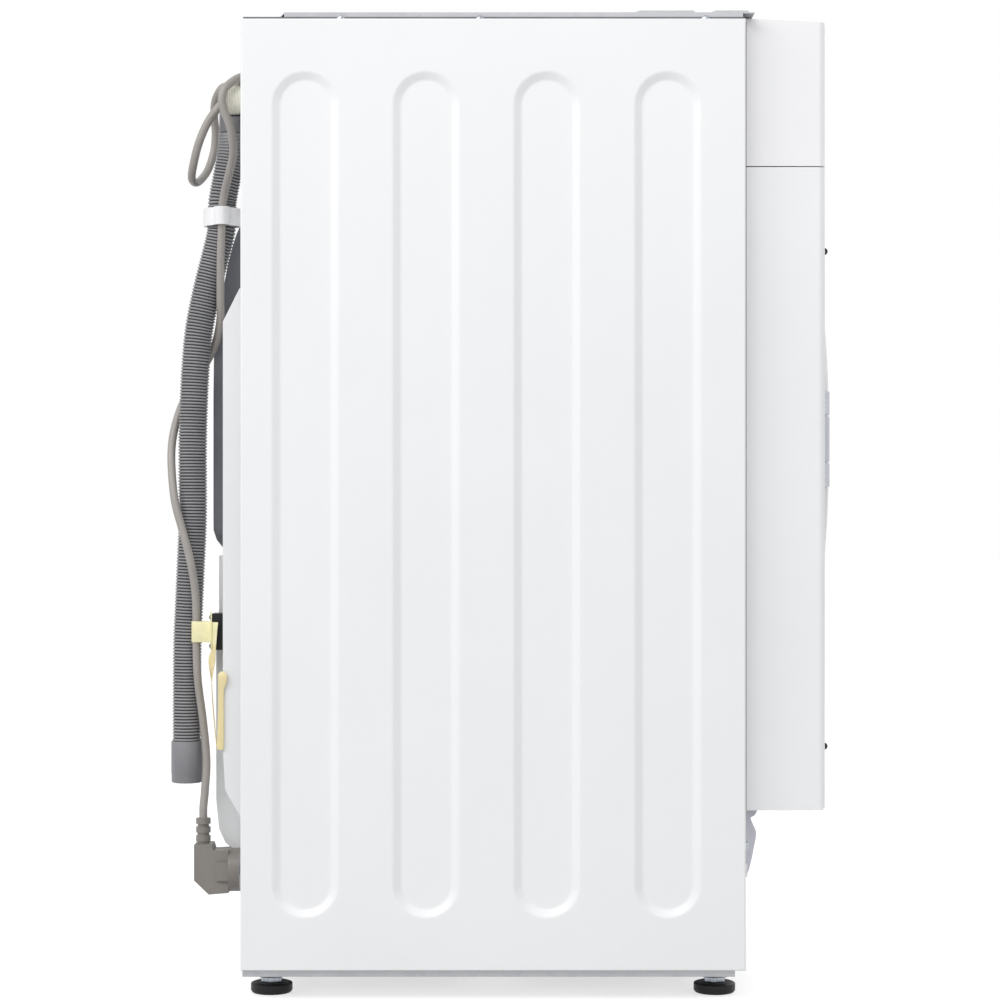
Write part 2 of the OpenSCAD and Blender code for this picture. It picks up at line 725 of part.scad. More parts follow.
// Turn about an axis along Y
module rotate_about(x, z, angle) {
    translate([x, 0, z]) rotate([0, angle, 0]) translate([-x, 0, -z]) children();
}

module button(x) {
    back = y_face + panel_t + play;
    rod_y(x, control_z, y_face - button_out, back + tiny, button_r);
    rod_y(x, control_z, back, back + 2, button_r + 1.6);
    rod_y(x, control_z, back + 1, board_y - 4 - button_go - play, 2.5);
}

module power_button() {
    color("#C9CACD") button(power_x);
}

module start_button() {
    color("#C9CACD") button(start_x);
}

module option_button() {
    color("#C9CACD") button(option_x);
}

// Drawer: front at the panel's face, tray behind it, housing round the tray
tray_x0 = drawer_x0 + tray_side;
tray_x1 = drawer_x0 + drawer_w - tray_side;
tray_z0 = drawer_z0 + 10;
tray_y0 = y_face + 24;
tray_y1 = y_face + 4 + tray_l;

module drawer_front() {
    x1 = drawer_x0 + drawer_w;
    grip_z = tray_z0 + 2;
    color("#F2F2F4") difference() {
        union() {
            block([drawer_x0, y_face, drawer_z0], [x1, y_face + 4, drawer_z0 + drawer_h]);
            block([tray_x0, y_face, tray_z0], [tray_x1, tray_y0, tray_z0 + tray_h]);
        }
        block([drawer_x0 + 42, y_face - 1, grip_z], [x1 - 42, y_face + 21, drawer_z0 + 28]);
    }
}

module drawer_tray() {
    mid = tray_x0 + (tray_x1 - tray_x0) * 0.38;
    mid2 = tray_x0 + (tray_x1 - tray_x0) * 0.7;
    floor_z = tray_z0 + 3;
    color("#BFC3C9") difference() {
        block([tray_x0, tray_y0 + tiny, tray_z0], [tray_x1, tray_y1, tray_z0 + tray_h]);
        block([tray_x0 + tray_t, tray_y0 + 4, floor_z], [mid, tray_y1 - tray_t, tray_z0 + tray_h + 1]);
        block([mid + tray_t, tray_y0 + 4, floor_z], [mid2, tray_y1 - tray_t, tray_z0 + tray_h + 1]);
        block([mid2 + tray_t, tray_y0 + 4, floor_z], [tray_x1 - tray_t, tray_y1 - tray_t, tray_z0 + tray_h + 1]);
    }
}

module dispenser_housing() {
    x0 = tray_x0 - house_gap;
    x1 = tray_x1 + house_gap;
    z0 = tray_z0 - play;
    z1 = tray_z0 + tray_h + house_gap;
    color("#D6D8DC") difference() {
        block([x0 - 2, y_face + 4 + play, z0 - 2], [x1 + 2, tray_y1 + 10, z1 + 2]);
        block([x0, y_face + 3, z0], [x1, tray_y1 + 8, z1]);
    }
    // Water funnel down to the tub, and the hanger up to the front rail
    color("#D6D8DC") block([x0 + 20, y_front + 6, z1 + 2 - tiny], [x1 - 20, y_front + 26, cab_top - 17]);
}

module inlet_valve() {
    color("#D9D7C4") {
        difference() {
            union() {
                rod_y(spout_x, spout_z, y_back - 6, y_rear + spout_out - thread_l + 1, spout_r - 1);
                rod_y(spout_x, spout_z, y_rear + spout_out - thread_l, y_rear + spout_out, spout_r);
            }
            rod_y(spout_x, spout_z, y_rear + spout_out - 22, y_rear + spout_out + 1, spout_r - 3.2);
        }
        block([spout_x - 26, y_back - 46, spout_z - 22], [spout_x + 26, y_back - sheet_t, spout_z + 22]);
    }
    color("#2A2A2C") block([spout_x - 9, y_back, spout_z - 21], [spout_x + 9, y_rear + 6, spout_z - 11.8]);
}

module elbow_solid(r) {
    bend_y = y_rear + hose_route[0][1] - elbow_bend;
    rod_y(hose_x, elbow_z, y_back - 18, bend_y, r);
    translate([hose_x, bend_y, elbow_z - elbow_bend]) rotate([0, -90, 0])
        rotate_extrude(angle = 90) translate([elbow_bend, 0]) circle(r = r);
}

module drain_elbow() {
    color("#77787C") difference() {
        elbow_solid(elbow_r);
        elbow_solid(elbow_r - 2.5);
        rod_y(hose_x, elbow_z, y_back - 19, y_back, elbow_r - 2.5);
    }
}

module hose_clip() {
    lead = [lead_x - 2, y_rear + 25];
    color("#F4F4F6") translate([0, 0, clip_z - clip_h / 2]) linear_extrude(height = clip_h) difference() {
        union() {
            translate([hose_x, clip_y]) circle(r = hose_r + 3.6);
            translate(lead) circle(r = lead_r + 3.4);
            translate([hose_x - 5, y_back]) square([10, clip_y - y_back - hose_r]);
            translate([hose_x - 12, y_back]) square([24, 3]);
        }
        translate([hose_x, clip_y]) circle(r = hose_r + 0.9);
        translate(lead) circle(r = lead_r + 0.9);
        translate([lead[0], lead[1] - 3]) square([8, 6]);
    }
}

module strap_block() {
    color("#232326") difference() {
        block([block_x - 12, block_y, block_z - block_h / 2], [block_x + 12, block_y + 12, block_z + block_h / 2]);
        rod_y(block_x, block_z, block_y + 6, block_y + 13, 3);
    }
}

// Band round the lead, its joined ears on the block, and the hanging tail
module cord_strap() {
    z0 = block_z - 9;
    ear_y = block_y + 12;
    color("#E3DFA8") {
        translate([0, 0, z0]) linear_extrude(height = 18) difference() {
            union() {
                translate([lead_x, strap_y]) circle(r = lead_r + 1.3);
                translate([lead_x - 1, ear_y + 0.2]) square([2, strap_y - ear_y - lead_r - 0.7]);
                translate([block_x - 9, ear_y]) square([18, 1]);
            }
            translate([lead_x, strap_y]) circle(r = lead_r + 0.5);
        }
        block([block_x - 8, ear_y, 207], [block_x + 8, ear_y + 0.8, z0 + tiny]);
    }
}

module cord_gland() {
    color("#C8C9CC") difference() {
        union() {
            translate([gland_x, y_back, gland_z]) rotate([-90, 0, 0]) cylinder(h = 6, r = 13);
            translate([gland_x, y_back + 5, gland_z]) rotate([-90, 0, 0])
                cylinder(h = gland_y - y_back - 5, r1 = 10, r2 = lead_r + 1.6);
            rod_y(gland_x, gland_z, y_back - 8, y_back + 1, 8);
        }
        rod_y(gland_x, gland_z, y_back - 9, gland_y - 8, lead_r - 0.5);
    }
}

module door_gasket() {
    y0 = y_face + 1.8;
    color("#8F9296") spin_y([[port_r - 10, y0], [port_r - play, y0], [port_r - play, y_face + 20],
        [port_r + 16, y_face + 28], [port_r + 16, y_front - 16], [tub_mouth_r + 4.3, y_front - 10],
        [tub_mouth_r + 4.3, tub_front_y - play], [tub_mouth_r + 0.3, tub_front_y - play],
        [tub_mouth_r + 0.3, y_front - 12], [port_r + 12.5, y_front - 18], [port_r + 12.5, y_face + 30.5],
        [port_r - 3.3, y_face + 23.5], [port_r - 10, y_face + 9]]);
}

module door_lock() {
    t = sheet_t + 0.2;
    color("#3A3B3E") difference() {
        block([latch_x - 11, y_face + t, axis_z - 34], [latch_x + 18, latch_tip_y + 9, axis_z + 34]);
        block([latch_x - 7, y_face, axis_z - 13], [latch_x + 10, latch_tip_y + 3, axis_z + 13]);
        rod_y(0, axis_z, y_face, y_face + 20.5, port_r + 2);
        rod_y(0, axis_z, y_face + 20, y_front, port_r + 18);
    }
}

module door_hinge() {
    color("#C5C7CA") {
        difference() {
            union() {
                block([hinge_x - 34, y_face - 3, axis_z - 44], [hinge_x - 8, y_face, axis_z + 44]);
                for (s = [-1, 1]) {
                    z = axis_z + s * 31 - 10;
                    block([hinge_x - 10, hinge_y - 4, z], [hinge_x, y_face, z + 20]);
                    translate([hinge_x, hinge_y, z]) cylinder(h = 20, r = knuckle_r);
                }
            }
            for (z = [-32, 0, 32]) rod_y(hinge_x - 22, axis_z + z, y_face - 4, y_face + 1, 2.6);
        }
        translate([hinge_x, hinge_y, axis_z - 42]) cylinder(h = 84, r = pin_r);
    }
}

module arm_tongue(grow) {
    block([hinge_x, hinge_y - 3 - grow, axis_z - 18 - grow], [hinge_x + 24 + grow, hinge_y + 3 + grow, axis_z + 18 + grow]);
}

module door_arm() {
    color("#C5C7CA") difference() {
        union() {
            translate([hinge_x, hinge_y, axis_z - hinge_half]) cylinder(h = 2 * hinge_half, r = knuckle_r);
            arm_tongue(0);
        }
        translate([hinge_x, hinge_y, axis_z - 30]) cylinder(h = 60, r = pin_r + run);
    }
}

// Height of the door's dome ahead of its middle at radius r
function dome_y(r) = y_face - door_bulge + r * r / (2 * dome_r);

module door_frame() {
    grip_w = 70;
    color("#F0F0F2") difference() {
        spin_y([[152, seat_y], [door_r, seat_y], [door_r, dome_y(rim_r) + 3.2], [door_r - 1, dome_y(rim_r) + 1.2],
            [door_r - 3, dome_y(rim_r) + 0.2], [rim_r + 0.1, dome_y(rim_r)], [rim_r + 0.1, ledge_y],
            [glass_out_r + 0.3, ledge_y], [glass_out_r + 0.3, glass_seat_y], [152, glass_seat_y]]);
        arm_tongue(0);
        translate([hinge_x, hinge_y, axis_z - 50]) cylinder(h = 100, r = knuckle_r + 2.5);
        // Finger grip behind the rim, and the latch's pocket
        block([latch_x + 6.5, seat_y - 8.5, axis_z - grip_w / 2], [door_r + 1, seat_y + 1, axis_z + grip_w / 2]);
        block([latch_x - 5, latch_pin_y - 5, axis_z - 8], [latch_x + 5, seat_y + 1, axis_z + 8]);
        translate([latch_x, latch_pin_y, axis_z - 12.3]) cylinder(h = 24.6, r = 2.5 + run);
    }
}

module door_cover() {
    out = rim_r - 0.1;
    inner = rim_r - 9;
    color("#F2F2F4") spin_y(concat(
        [for (i = [0 : 12]) [out * i / 12, dome_y(out * i / 12)]],
        [[out, ledge_y], [inner, ledge_y]],
        [for (i = [12 : -1 : 0]) [inner * i / 12, dome_y(inner * i / 12) + 3]]));
}

module door_glass() {
    y0 = glass_seat_y;
    y1 = y_front - 2;
    t = glass_t;
    color([0.75, 0.8, 0.82, 0.6]) spin_y([[glass_out_r, y0 - t], [glass_out_r, y0], [bowl_r + 0.5, y0],
        [bowl_r, y_face + 10], [bowl_end_r, y1], [bowl_end_r - 8, y1 + 6], [0, y1 + 8],
        [0, y1 + 8 - t], [bowl_end_r - 9, y1 + 6 - t], [bowl_end_r - t, y1 - 2], [bowl_r - t, y_face + 9],
        [bowl_r - t, y0 - t]]);
}

module latch_hook() {
    color("#B9BCC0") {
        block([latch_x - 3, latch_pin_y, axis_z - 6], [latch_x + 3, latch_tip_y, axis_z + 6]);
        block([latch_x - 3, latch_tip_y - 5, axis_z - 6], [latch_x + 6, latch_tip_y, axis_z + 6]);
        translate([latch_x, latch_pin_y, axis_z - 7.7]) cylinder(h = 15.4, r = 3.5);
        translate([latch_x, latch_pin_y, axis_z - 12]) cylinder(h = 24, r = 2.5);
    }
}

module tub_front() {
    y0 = tub_front_y;
    color("#A9ABAF") {
        difference() {
            spin_y([[tub_mouth_r - 3, y_front - 10], [tub_mouth_r, y_front - 10], [tub_mouth_r, y0],
                [tub_r, y0], [tub_r, tub_seam_y - 6], [tub_r + 6, tub_seam_y - 6], [tub_r + 6, tub_seam_y],
                [tub_r - tub_t, tub_seam_y], [tub_r - tub_t, y0 + tub_t], [tub_mouth_r - 3, y0 + tub_t]]);
            // Holes for the heater's two legs
            for (x = [-20, 20]) rod_y(x, heater_z, y0 - 1, y0 + tub_t + 1, 3.5 + play);
        }
        difference() {
            rod_tube(pump_x, sump_y, sump_top, tub_low(pump_x) + 34, sump_r + 1, sump_r - 1.5);
            rod_y(0, axis_z, y_front, tub_seam_y, tub_r - 1);
        }
    }
}

// Upright pipe
module rod_tube(x, y, z0, z1, r, bore) {
    translate([x, y, z0]) difference() {
        cylinder(h = z1 - z0, r = r);
        translate([0, 0, -1]) cylinder(h = z1 - z0 + 2, r = bore);
    }
}

module tub_rear() {
    y0 = tub_seam_y;
    y1 = tub_back_y;
    color("#A9ABAF") difference() {
        union() {
            spin_y([[tub_r - tub_t, y0], [tub_r + 6, y0], [tub_r + 6, y0 + 6], [tub_r, y0 + 6], [tub_r, y1],
                [hub_r, y1], [hub_r, hub_end], [shaft_r + 4, hub_end], [shaft_r + 4, y1 - tub_t],
                [tub_r - tub_t, y1 - tub_t]]);
            difference() {
                union() {
                    for (a = [0 : 45 : 315]) translate([0, 0, axis_z]) rotate([0, a, 0])
                        block([hub_r - 2, y1 - 1, -3], [tub_r - 14, y1 + 9, 3]);
                    pair() block([spring_x - 13, spring_y - 14, spring_low - 56],
                        [spring_x + 13, spring_y + 14, spring_low]);
                    pair() block([damper_x - 12, damper_y - 14, tub_low(damper_x) - lug_drop],
                        [damper_x + 12, damper_y + 14, tub_low(damper_x) + 22]);
                    for (y = [20, 110]) block([motor_x - 40, y, motor_z + 20], [motor_x + 40, y + 16, tub_low(motor_x) + 22]);
                }
                rod_y(0, axis_z, y0 + 1, y1 - 2, tub_r - 1);
                rod_y(motor_x, motor_z, 0, 200, motor_r);
            }
        }
        rod_y(0, axis_z, y1 - tub_t - 1, y1 + 9, bearing_r);
        rod_y(0, axis_z, hub_end - 12, hub_end + 1, bearing_r);
    }
}

// Height of the tub's underside at a distance x from its middle
function tub_low(x) = axis_z - sqrt(tub_r * tub_r - x * x);

module bearings() {
    color("#B5B8BC") {
        ring_y(0, axis_z, tub_back_y - tub_t, tub_back_y + 9, bearing_r, shaft_r + run);
        ring_y(0, axis_z, hub_end - 12, hub_end, bearing_r, shaft_r + run);
    }
}

module counterweights() {
    y0 = tub_front_y - weight_t;
    color("#9C9B97") {
        // The lower one is notched round the heater's flange
        difference() {
            for (from = [28, 208]) spin_y([[weight_in, y0], [weight_r, y0], [weight_r, tub_front_y],
                [weight_in, tub_front_y]], 124, from);
            block([-34, y0 - 1, axis_z - weight_r - 1], [34, tub_front_y + 1, heater_z + 11]);
        }
        difference() {
            block([-90, tub_seam_y + 12, axis_z + 170], [150, tub_seam_y + 162, axis_z + tub_r + 34]);
            rod_y(0, axis_z, tub_seam_y, tub_seam_y + 200, tub_r + 0.1);
        }
    }
}

heater_z = axis_z - drum_r - 12;

module heater() {
    z = heater_z;
    color("#A8A49C") {
        for (x = [-20, 20]) rod_y(x, z, tub_front_y - 14, tub_front_y + 220, 3.5);
        translate([0, tub_front_y + 220, z]) rotate_extrude(angle = 180) translate([20, 0]) circle(r = 3.5);
        block([-30, tub_front_y - 5, z - 9], [30, tub_front_y, z + 9]);
    }
}

module motor() {
    y0 = pulley_y - 12 - motor_l;
    color("#8D9094") difference() {
        union() {
            rod_y(motor_x, motor_z, y0 + 20, y0 + motor_l, motor_r);
            rod_y(motor_x, motor_z, y0, y0 + 21, motor_r - 16);
        }
        rod_y(motor_x, motor_z, y0 + 15, y0 + motor_l + 1, 5 + run);
        for (a = [0 : 30 : 330]) rotate_about(motor_x, motor_z, a)
            block([motor_x + motor_r - 7, y0 + 34, motor_z - 4], [motor_x + motor_r + 1, y0 + 52, motor_z + 4]);
    }
}

module belt_ring(r1, r2) {
    hull() {
        rod_y(0, axis_z, pulley_y + 2, pulley_y + 2 + belt_w, r1, $fn = 96);
        rod_y(motor_x, motor_z, pulley_y + 2, pulley_y + 2 + belt_w, r2, $fn = 48);
    }
}

module drive_belt() {
    r1 = pulley_r + belt_gap;
    r2 = pinion_r + belt_gap;
    color("#26272A") difference() {
        belt_ring(r1 + belt_t, r2 + belt_t);
        translate([0, -1, 0]) scale([1, 1, 1]) belt_ring(r1, r2);
        translate([0, 1, 0]) belt_ring(r1, r2);
    }
}

module drum_pulley() {
    y = pulley_y;
    color("#B4B6B9") difference() {
        spin_y([[shaft_r, y - 4], [26, y - 4], [26, y + 5], [pulley_r - 12, y + 5], [pulley_r - 12, y],
            [pulley_r + 1.5, y], [pulley_r + 1.5, y + 1.5], [pulley_r, y + 1.5], [pulley_r, y + pulley_w - 1.5],
            [pulley_r + 1.5, y + pulley_w - 1.5], [pulley_r + 1.5, y + pulley_w], [pulley_r - 12, y + pulley_w],
            [pulley_r - 12, y + 9], [26, y + 9], [26, y + pulley_w], [shaft_r, y + pulley_w]]);
        for (a = [0 : 60 : 300]) rotate_about(0, axis_z, a) rod_y(75, axis_z, y - 5, y + 20, 30);
    }
}

module motor_pulley() {
    y = pulley_y;
    color("#B4B6B9") {
        rod_y(motor_x, motor_z, y + 0.5, y + pulley_w - 0.5, pinion_r);
        rod_y(motor_x, motor_z, y - 12 - motor_l + 17, y + pulley_w + 3, 5);
    }
}

module drum() {
    y0 = drum_y;
    y1 = drum_end;
    t = drum_t;
    color("#C4C6C8") spin_y([[mouth_r, y0 - 6], [mouth_r + 3, y0 - 6], [mouth_r + 6, y0], [drum_r - 12, y0],
        [drum_r, y0 + 12], [drum_r, y1 - 10], [drum_r - 8, y1], [shaft_r + 8, y1], [shaft_r + 8, y1 - t],
        [drum_r - 8 - t, y1 - t], [drum_r - t, y1 - 10 - t], [drum_r - t, y0 + 12 + t], [drum_r - 12 - t, y0 + t],
        [mouth_r + 4, y0 + t], [mouth_r, y0 - 3]]);
}

module drum_baffles() {
    r = drum_r - drum_t - 0.1;
    color("#AEB1B5") for (a = [-90, 30, 150]) rotate_about(0, axis_z, a) intersection() {
        translate([0, drum_y + 26, axis_z]) rotate([-90, 0, 0]) linear_extrude(height = drum_l - 52)
            polygon([[r + 1, -30], [r - 20, -17], [r - 32, -9], [r - 35, 0], [r - 32, 9], [r - 20, 17], [r + 1, 30]]);
        rod_y(0, axis_z, drum_y, drum_end, r);
    }
}

module drum_spider() {
    y0 = drum_end;
    color("#9FA1A4") {
        rod_y(0, axis_z, y0, y0 + spider_t, 32);
        for (a = [-90, 30, 150]) rotate_about(0, axis_z, a)
            block([20, y0, axis_z - 14], [drum_r - 16, y0 + spider_t, axis_z + 14]);
        rod_y(0, axis_z, y0, pulley_y + pulley_w, shaft_r);
        rod_y(0, axis_z, pulley_y + pulley_w, pulley_y + pulley_w + 6, 17);
    }
}

module suspension_springs() {
    z0 = spring_low + play;
    z1 = rail_z - play;
    color("#8A8D91") pair() translate([spring_x, spring_y, 0]) difference() {
        translate([0, 0, z0]) cylinder(h = z1 - z0, r = spring_r);
        translate([0, 0, z0 - 1]) cylinder(h = z1 - z0 + 2, r = spring_r - 3.5);
    }
}

module damper_cylinders() {
    z1 = beam_z + damper_h;
    color("#3A3B3E") pair() translate([damper_x, damper_y, 0]) difference() {
        translate([0, 0, beam_z]) cylinder(h = z1 - beam_z, r = damper_r);
        translate([0, 0, beam_z + 10]) cylinder(h = damper_h - 14, r = damper_r - 2.5);
        translate([0, 0, z1 - 10]) cylinder(h = 20, r = rod_r + run);
    }
}

module damper_rods() {
    color("#B9BCC0") pair() translate([damper_x, damper_y, 0]) {
        translate([0, 0, beam_z + 40]) cylinder(h = tub_low(damper_x) - lug_drop - beam_z - 40, r = rod_r);
        translate([0, 0, beam_z + 40]) cylinder(h = 30, r = damper_r - 3);
    }
}

module drain_pump() {
    y0 = pump_front_y;
    color("#D8DADD") difference() {
        union() {
            rod_y(pump_x, pump_z, y0, y0 + pump_l, pump_r);
            rod_y(pump_x, pump_z, y0 + pump_l, y0 + pump_l + 46, pump_r - 6);
            rod_tube(pump_x, sump_y, pump_z + pump_r - 8, pump_z + pump_r + 14, sump_r + 1, sump_r - 1.5);
        }
        rod_y(pump_x, pump_z, y0 - 1, y0 + pump_l - 12, filter_r + 1);
        rod_y(pump_x, pump_z, y0 - 1, y0 + 6, filter_r + 4.4);
    }
}

module pump_filter() {
    y0 = pump_front_y;
    color("#E7E8EA") {
        rod_y(pump_x, pump_z, y0 - 2, y0 + 5, filter_r + 4);
        rod_y(pump_x, pump_z, y0 + 4, y0 + 14, filter_r);
        block([pump_x - 20, y0 - 5, pump_z - 3], [pump_x + 20, y0 - 1, pump_z + 3]);
        difference() {
            rod_y(pump_x, pump_z, y0 + 13, y0 + pump_l - 18, filter_r - 4);
            rod_y(pump_x, pump_z, y0 + 20, y0 + pump_l - 17, filter_r - 6.5);
            for (a = [0 : 60 : 300]) rotate_about(pump_x, pump_z, a)
                block([pump_x + 5, y0 + 24, pump_z - 4], [pump_x + 30, y0 + pump_l - 26, pump_z + 4]);
        }
    }
}

module sump_hose() {
    z0 = pump_z + pump_r + 14 + play;
    z1 = sump_top - play;
    n = 9;
    p = (z1 - z0 - 8) / n;
    wall = 2;
    outer = [for (i = [0 : n - 1]) each [[sump_r + 1, z0 + 4 + i * p], [sump_r + 5, z0 + 4 + (i + 0.5) * p]]];
    inner = [for (i = [n - 1 : -1 : 0]) each [[sump_r + 5 - wall, z0 + 4 + (i + 0.5) * p],
        [sump_r + 1 - wall, z0 + 4 + i * p]]];
    color("#3C3D40") translate([pump_x, sump_y, 0]) rotate_extrude() polygon(concat(
        [[sump_r + 1, z0]], outer, [[sump_r + 1, z1 - 4], [sump_r + 1, z1], [sump_r - 1, z1], [sump_r - 1, z1 - 4]],
        inner, [[sump_r - 1, z0]]));
}

module lock_nuts() {
    color("#9AA2AA") each_foot() difference() {
        union() {
            translate([0, 0, foot_h + play]) cylinder(h = 5, r = 9.8, $fn = 6);
            translate([0, 0, foot_h + 4.8]) cylinder(h = plate_top - foot_h - 4.8, r1 = 13, r2 = 16);
        }
        translate([0, 0, 1]) cylinder(h = 40, r = stud_r + play);
    }
}

module foot() {
    color("#242427") {
        cylinder(h = 2, r1 = foot_r - 1.5, r2 = foot_r);
        translate([0, 0, 2]) cylinder(h = foot_h - 3, r = foot_r);
        translate([0, 0, foot_h - 1]) cylinder(h = 1, r1 = foot_r, r2 = foot_r - 3);
    }
    color("#9AA2AA") translate([0, 0, foot_h - tiny]) cylinder(h = 45, r = stud_r);
}

module foot_rear_left() {
    translate([-foot_x, foot_y[0], 0]) foot();
}

module foot_rear_right() {
    translate([foot_x, foot_y[0], 0]) foot();
}

module foot_front_left() {
    translate([-foot_x, foot_y[1], 0]) foot();
}

module foot_front_right() {
    translate([foot_x, foot_y[1], 0]) foot();
}

// Screws of the top plate and the kick panel, and the furniture hinges' screws
module fasteners() {
    half = inner_x - 2.2;
    color("#B8BBBF") {
        pair() for (y = [y_rear - 83, y_rear - 198, y_front + 33])
            translate([-half - 2, y, cab_top - 1.2]) rotate([0, 90, 0]) cylinder(h = 2, r = 4);
        pair() rod_y(-side_x + flange_w / 2, 127, y_front - 4.2, y_front, 4.1);
    }
    color("#3A3A3C") pair() for (z = hinge_screws) rod_y(-box_half + 20, z, y_face - 4.2, y_face, 3);
}

module drain_hose() {
    path = smooth(placed(hose_route), 4);
    run_l = lengths(path);
    total = run_l[len(path) - 1];
    top_l = 19;
    bottom = total - cuff_l;
    low_r = hose_r - groove;
    pitch = (bottom - top_l) / hose_ribs;
    at = concat([0, top_l - 1], [for (i = [0 : hose_ribs - 1]) each [top_l + i * pitch, top_l + (i + 0.55) * pitch]],
        [bottom - 0.2, bottom, total]);
    radii = concat([hose_r - 0.9, hose_r - 0.9], [for (i = [0 : hose_ribs - 1]) each [low_r, hose_r]],
        [low_r, cuff_r, cuff_r]);
    color("#7B7B7E") sweep([for (s = at) place(path, run_l, s)], radii, 8, low_r - hose_wall);
}

module power_cord() {
    path = smooth(placed(lead_route), 4);
    run_l = lengths(path);
    total = run_l[len(path) - 1];
    rings = 79;
    ends = [0, 4, total - 4, total];
    at = concat([0, 4], [for (i = [1 : rings - 4]) 4 + (total - 8) * i / (rings - 3)], [total - 4, total]);
    line = [for (s = at) place(path, run_l, s)];
    gaps = [for (i = [0 : len(path) - 1], j = [i + 1 : len(path) - 1])
        if (run_l[j] - run_l[i] > 30) norm(path[i] - path[j]) - 2 * lead_r];
    hose = smooth(placed(hose_route), 4);
    to_hose = [for (a = path, b = hose) norm(a - b) - lead_r - hose_r];
    echo(lead_length = total, least_gap_to_itself = min(gaps), least_gap_to_hose = min(to_hose));
    color("#99948F") sweep(line, [for (s = at) lead_r], 8);
}

module power_plug() {
    y1 = plug_y + 6.6;
    color("#7A7470") {
        // Strain relief with moulded rings
        translate([lead_x, plug_y, 119]) cylinder(h = 22, r1 = 5.4, r2 = 4.6);
        for (z = [121, 128.5, 136]) translate([lead_x, plug_y, z]) cylinder(h = 4.8, r = 6.3);
        difference() {
            bar_x(lead_x - 12.5, lead_x + 12.5, [[y1, 119.3], [y1, 88.7], [y1 - 12.6, 76.6], [y1 - 29.5, 78],
                [y1 - 29.5, 114.6], [y1 - 16.5, 114], [y1 - 15, 119.3]]);
            rod_y(lead_x, 300, plug_y - 40, plug_y + 10, 1);
        }
        rod_y(lead_x, plug_z, y1 - 39, y1 - 29.3, 18.6);
        block([lead_x - 15, y1 - 30, plug_z - 8], [lead_x + 15, y1 - 19, plug_z + 8]);
    }
    color("#C9CBCE") for (x = [-9.5, 9.5]) rod_y(lead_x + x, plug_z, y1 - 58, y1 - 38.5, 2.4);
}

side_panel_left();
side_panel_right();
rear_panel();
rear_cover();
top_plate();
base_frame();
cross_rails();
front_panel();
control_panel();
kick_panel();
control_board();
inlet_valve();
dispenser_housing();
drain_elbow();
hose_clip();
strap_block();
cord_strap();
cord_gland();
door_gasket();
door_lock();
door_hinge();
drain_pump();
sump_hose();
suspension_springs();
damper_cylinders();
lock_nuts();
fasteners();
drain_hose();
power_cord();
power_plug();
door_frame();
door_cover();
door_glass();
door_arm();
latch_hook();
drawer_tray();
drawer_front();
program_dial();
power_button();
start_button();
option_button();
filter_flap();
pump_filter();
tub_front();
tub_rear();
counterweights();
heater();
motor();
drive_belt();
damper_rods();
bearings();
drum();
drum_baffles();
drum_spider();
drum_pulley();
motor_pulley();
foot_rear_left();
foot_rear_right();
foot_front_left();
foot_front_right();
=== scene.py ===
"""An integrated washing machine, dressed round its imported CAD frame."""

import json
import math

import bmesh
import bpy
from mathutils import Matrix, Vector

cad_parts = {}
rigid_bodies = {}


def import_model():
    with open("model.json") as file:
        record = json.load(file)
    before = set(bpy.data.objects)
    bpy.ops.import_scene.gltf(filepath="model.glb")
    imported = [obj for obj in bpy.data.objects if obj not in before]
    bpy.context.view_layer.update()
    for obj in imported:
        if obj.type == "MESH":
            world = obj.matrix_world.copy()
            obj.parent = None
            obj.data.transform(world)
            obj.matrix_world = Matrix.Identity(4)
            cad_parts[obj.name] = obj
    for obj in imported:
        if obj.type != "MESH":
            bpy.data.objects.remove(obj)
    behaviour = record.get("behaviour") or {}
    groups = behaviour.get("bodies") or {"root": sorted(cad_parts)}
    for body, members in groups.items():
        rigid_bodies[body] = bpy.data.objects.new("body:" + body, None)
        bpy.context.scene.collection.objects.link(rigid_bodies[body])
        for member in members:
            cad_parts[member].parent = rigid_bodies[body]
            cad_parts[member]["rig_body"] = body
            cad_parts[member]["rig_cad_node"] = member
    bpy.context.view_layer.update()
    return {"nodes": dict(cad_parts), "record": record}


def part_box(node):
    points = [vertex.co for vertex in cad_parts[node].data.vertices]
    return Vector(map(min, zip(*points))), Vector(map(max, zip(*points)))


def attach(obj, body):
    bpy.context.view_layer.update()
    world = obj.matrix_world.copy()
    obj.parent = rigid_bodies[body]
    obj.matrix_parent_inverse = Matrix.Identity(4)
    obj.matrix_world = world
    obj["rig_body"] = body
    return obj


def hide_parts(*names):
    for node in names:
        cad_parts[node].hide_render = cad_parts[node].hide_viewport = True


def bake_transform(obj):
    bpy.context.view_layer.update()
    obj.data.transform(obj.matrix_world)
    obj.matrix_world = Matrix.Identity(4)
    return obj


bl_info = {
    "name": "Integrated washing machine",
    "version": (1, 0, 0),
    "blender": (4, 5, 0),
    "location": "3D View > Sidebar > Washer",
    "description": "Dresses the washing machine's frame with its panels, fittings, hose and lead",
    "category": "Object",
}

MM = 0.001

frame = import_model()
NODES = frame["nodes"]
BODY_OF = {n: b for b, ns in frame["record"]["behaviour"]["bodies"].items() for n in ns}
SLOT_OF = {s["node"]: s["material_slot"] for s in frame["record"]["subparts"]}

# Planes that the pieces share, read from the frame, and the heights of the drum's axis and the controls
SIDE_LOW, SIDE_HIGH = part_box("side_panel_left")
SIDE_X = -SIDE_LOW.x
Y_FRONT = SIDE_LOW.y
Y_REAR = SIDE_HIGH.y
Y_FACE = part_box("front_panel")[0].y
BOX_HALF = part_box("front_panel")[1].x
SEAM_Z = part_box("control_panel")[0].z
CONTROL_Z = SEAM_Z + 60 * MM
AXIS_Z = 467 * MM
BLOCK_LOW, BLOCK_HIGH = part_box("strap_block")

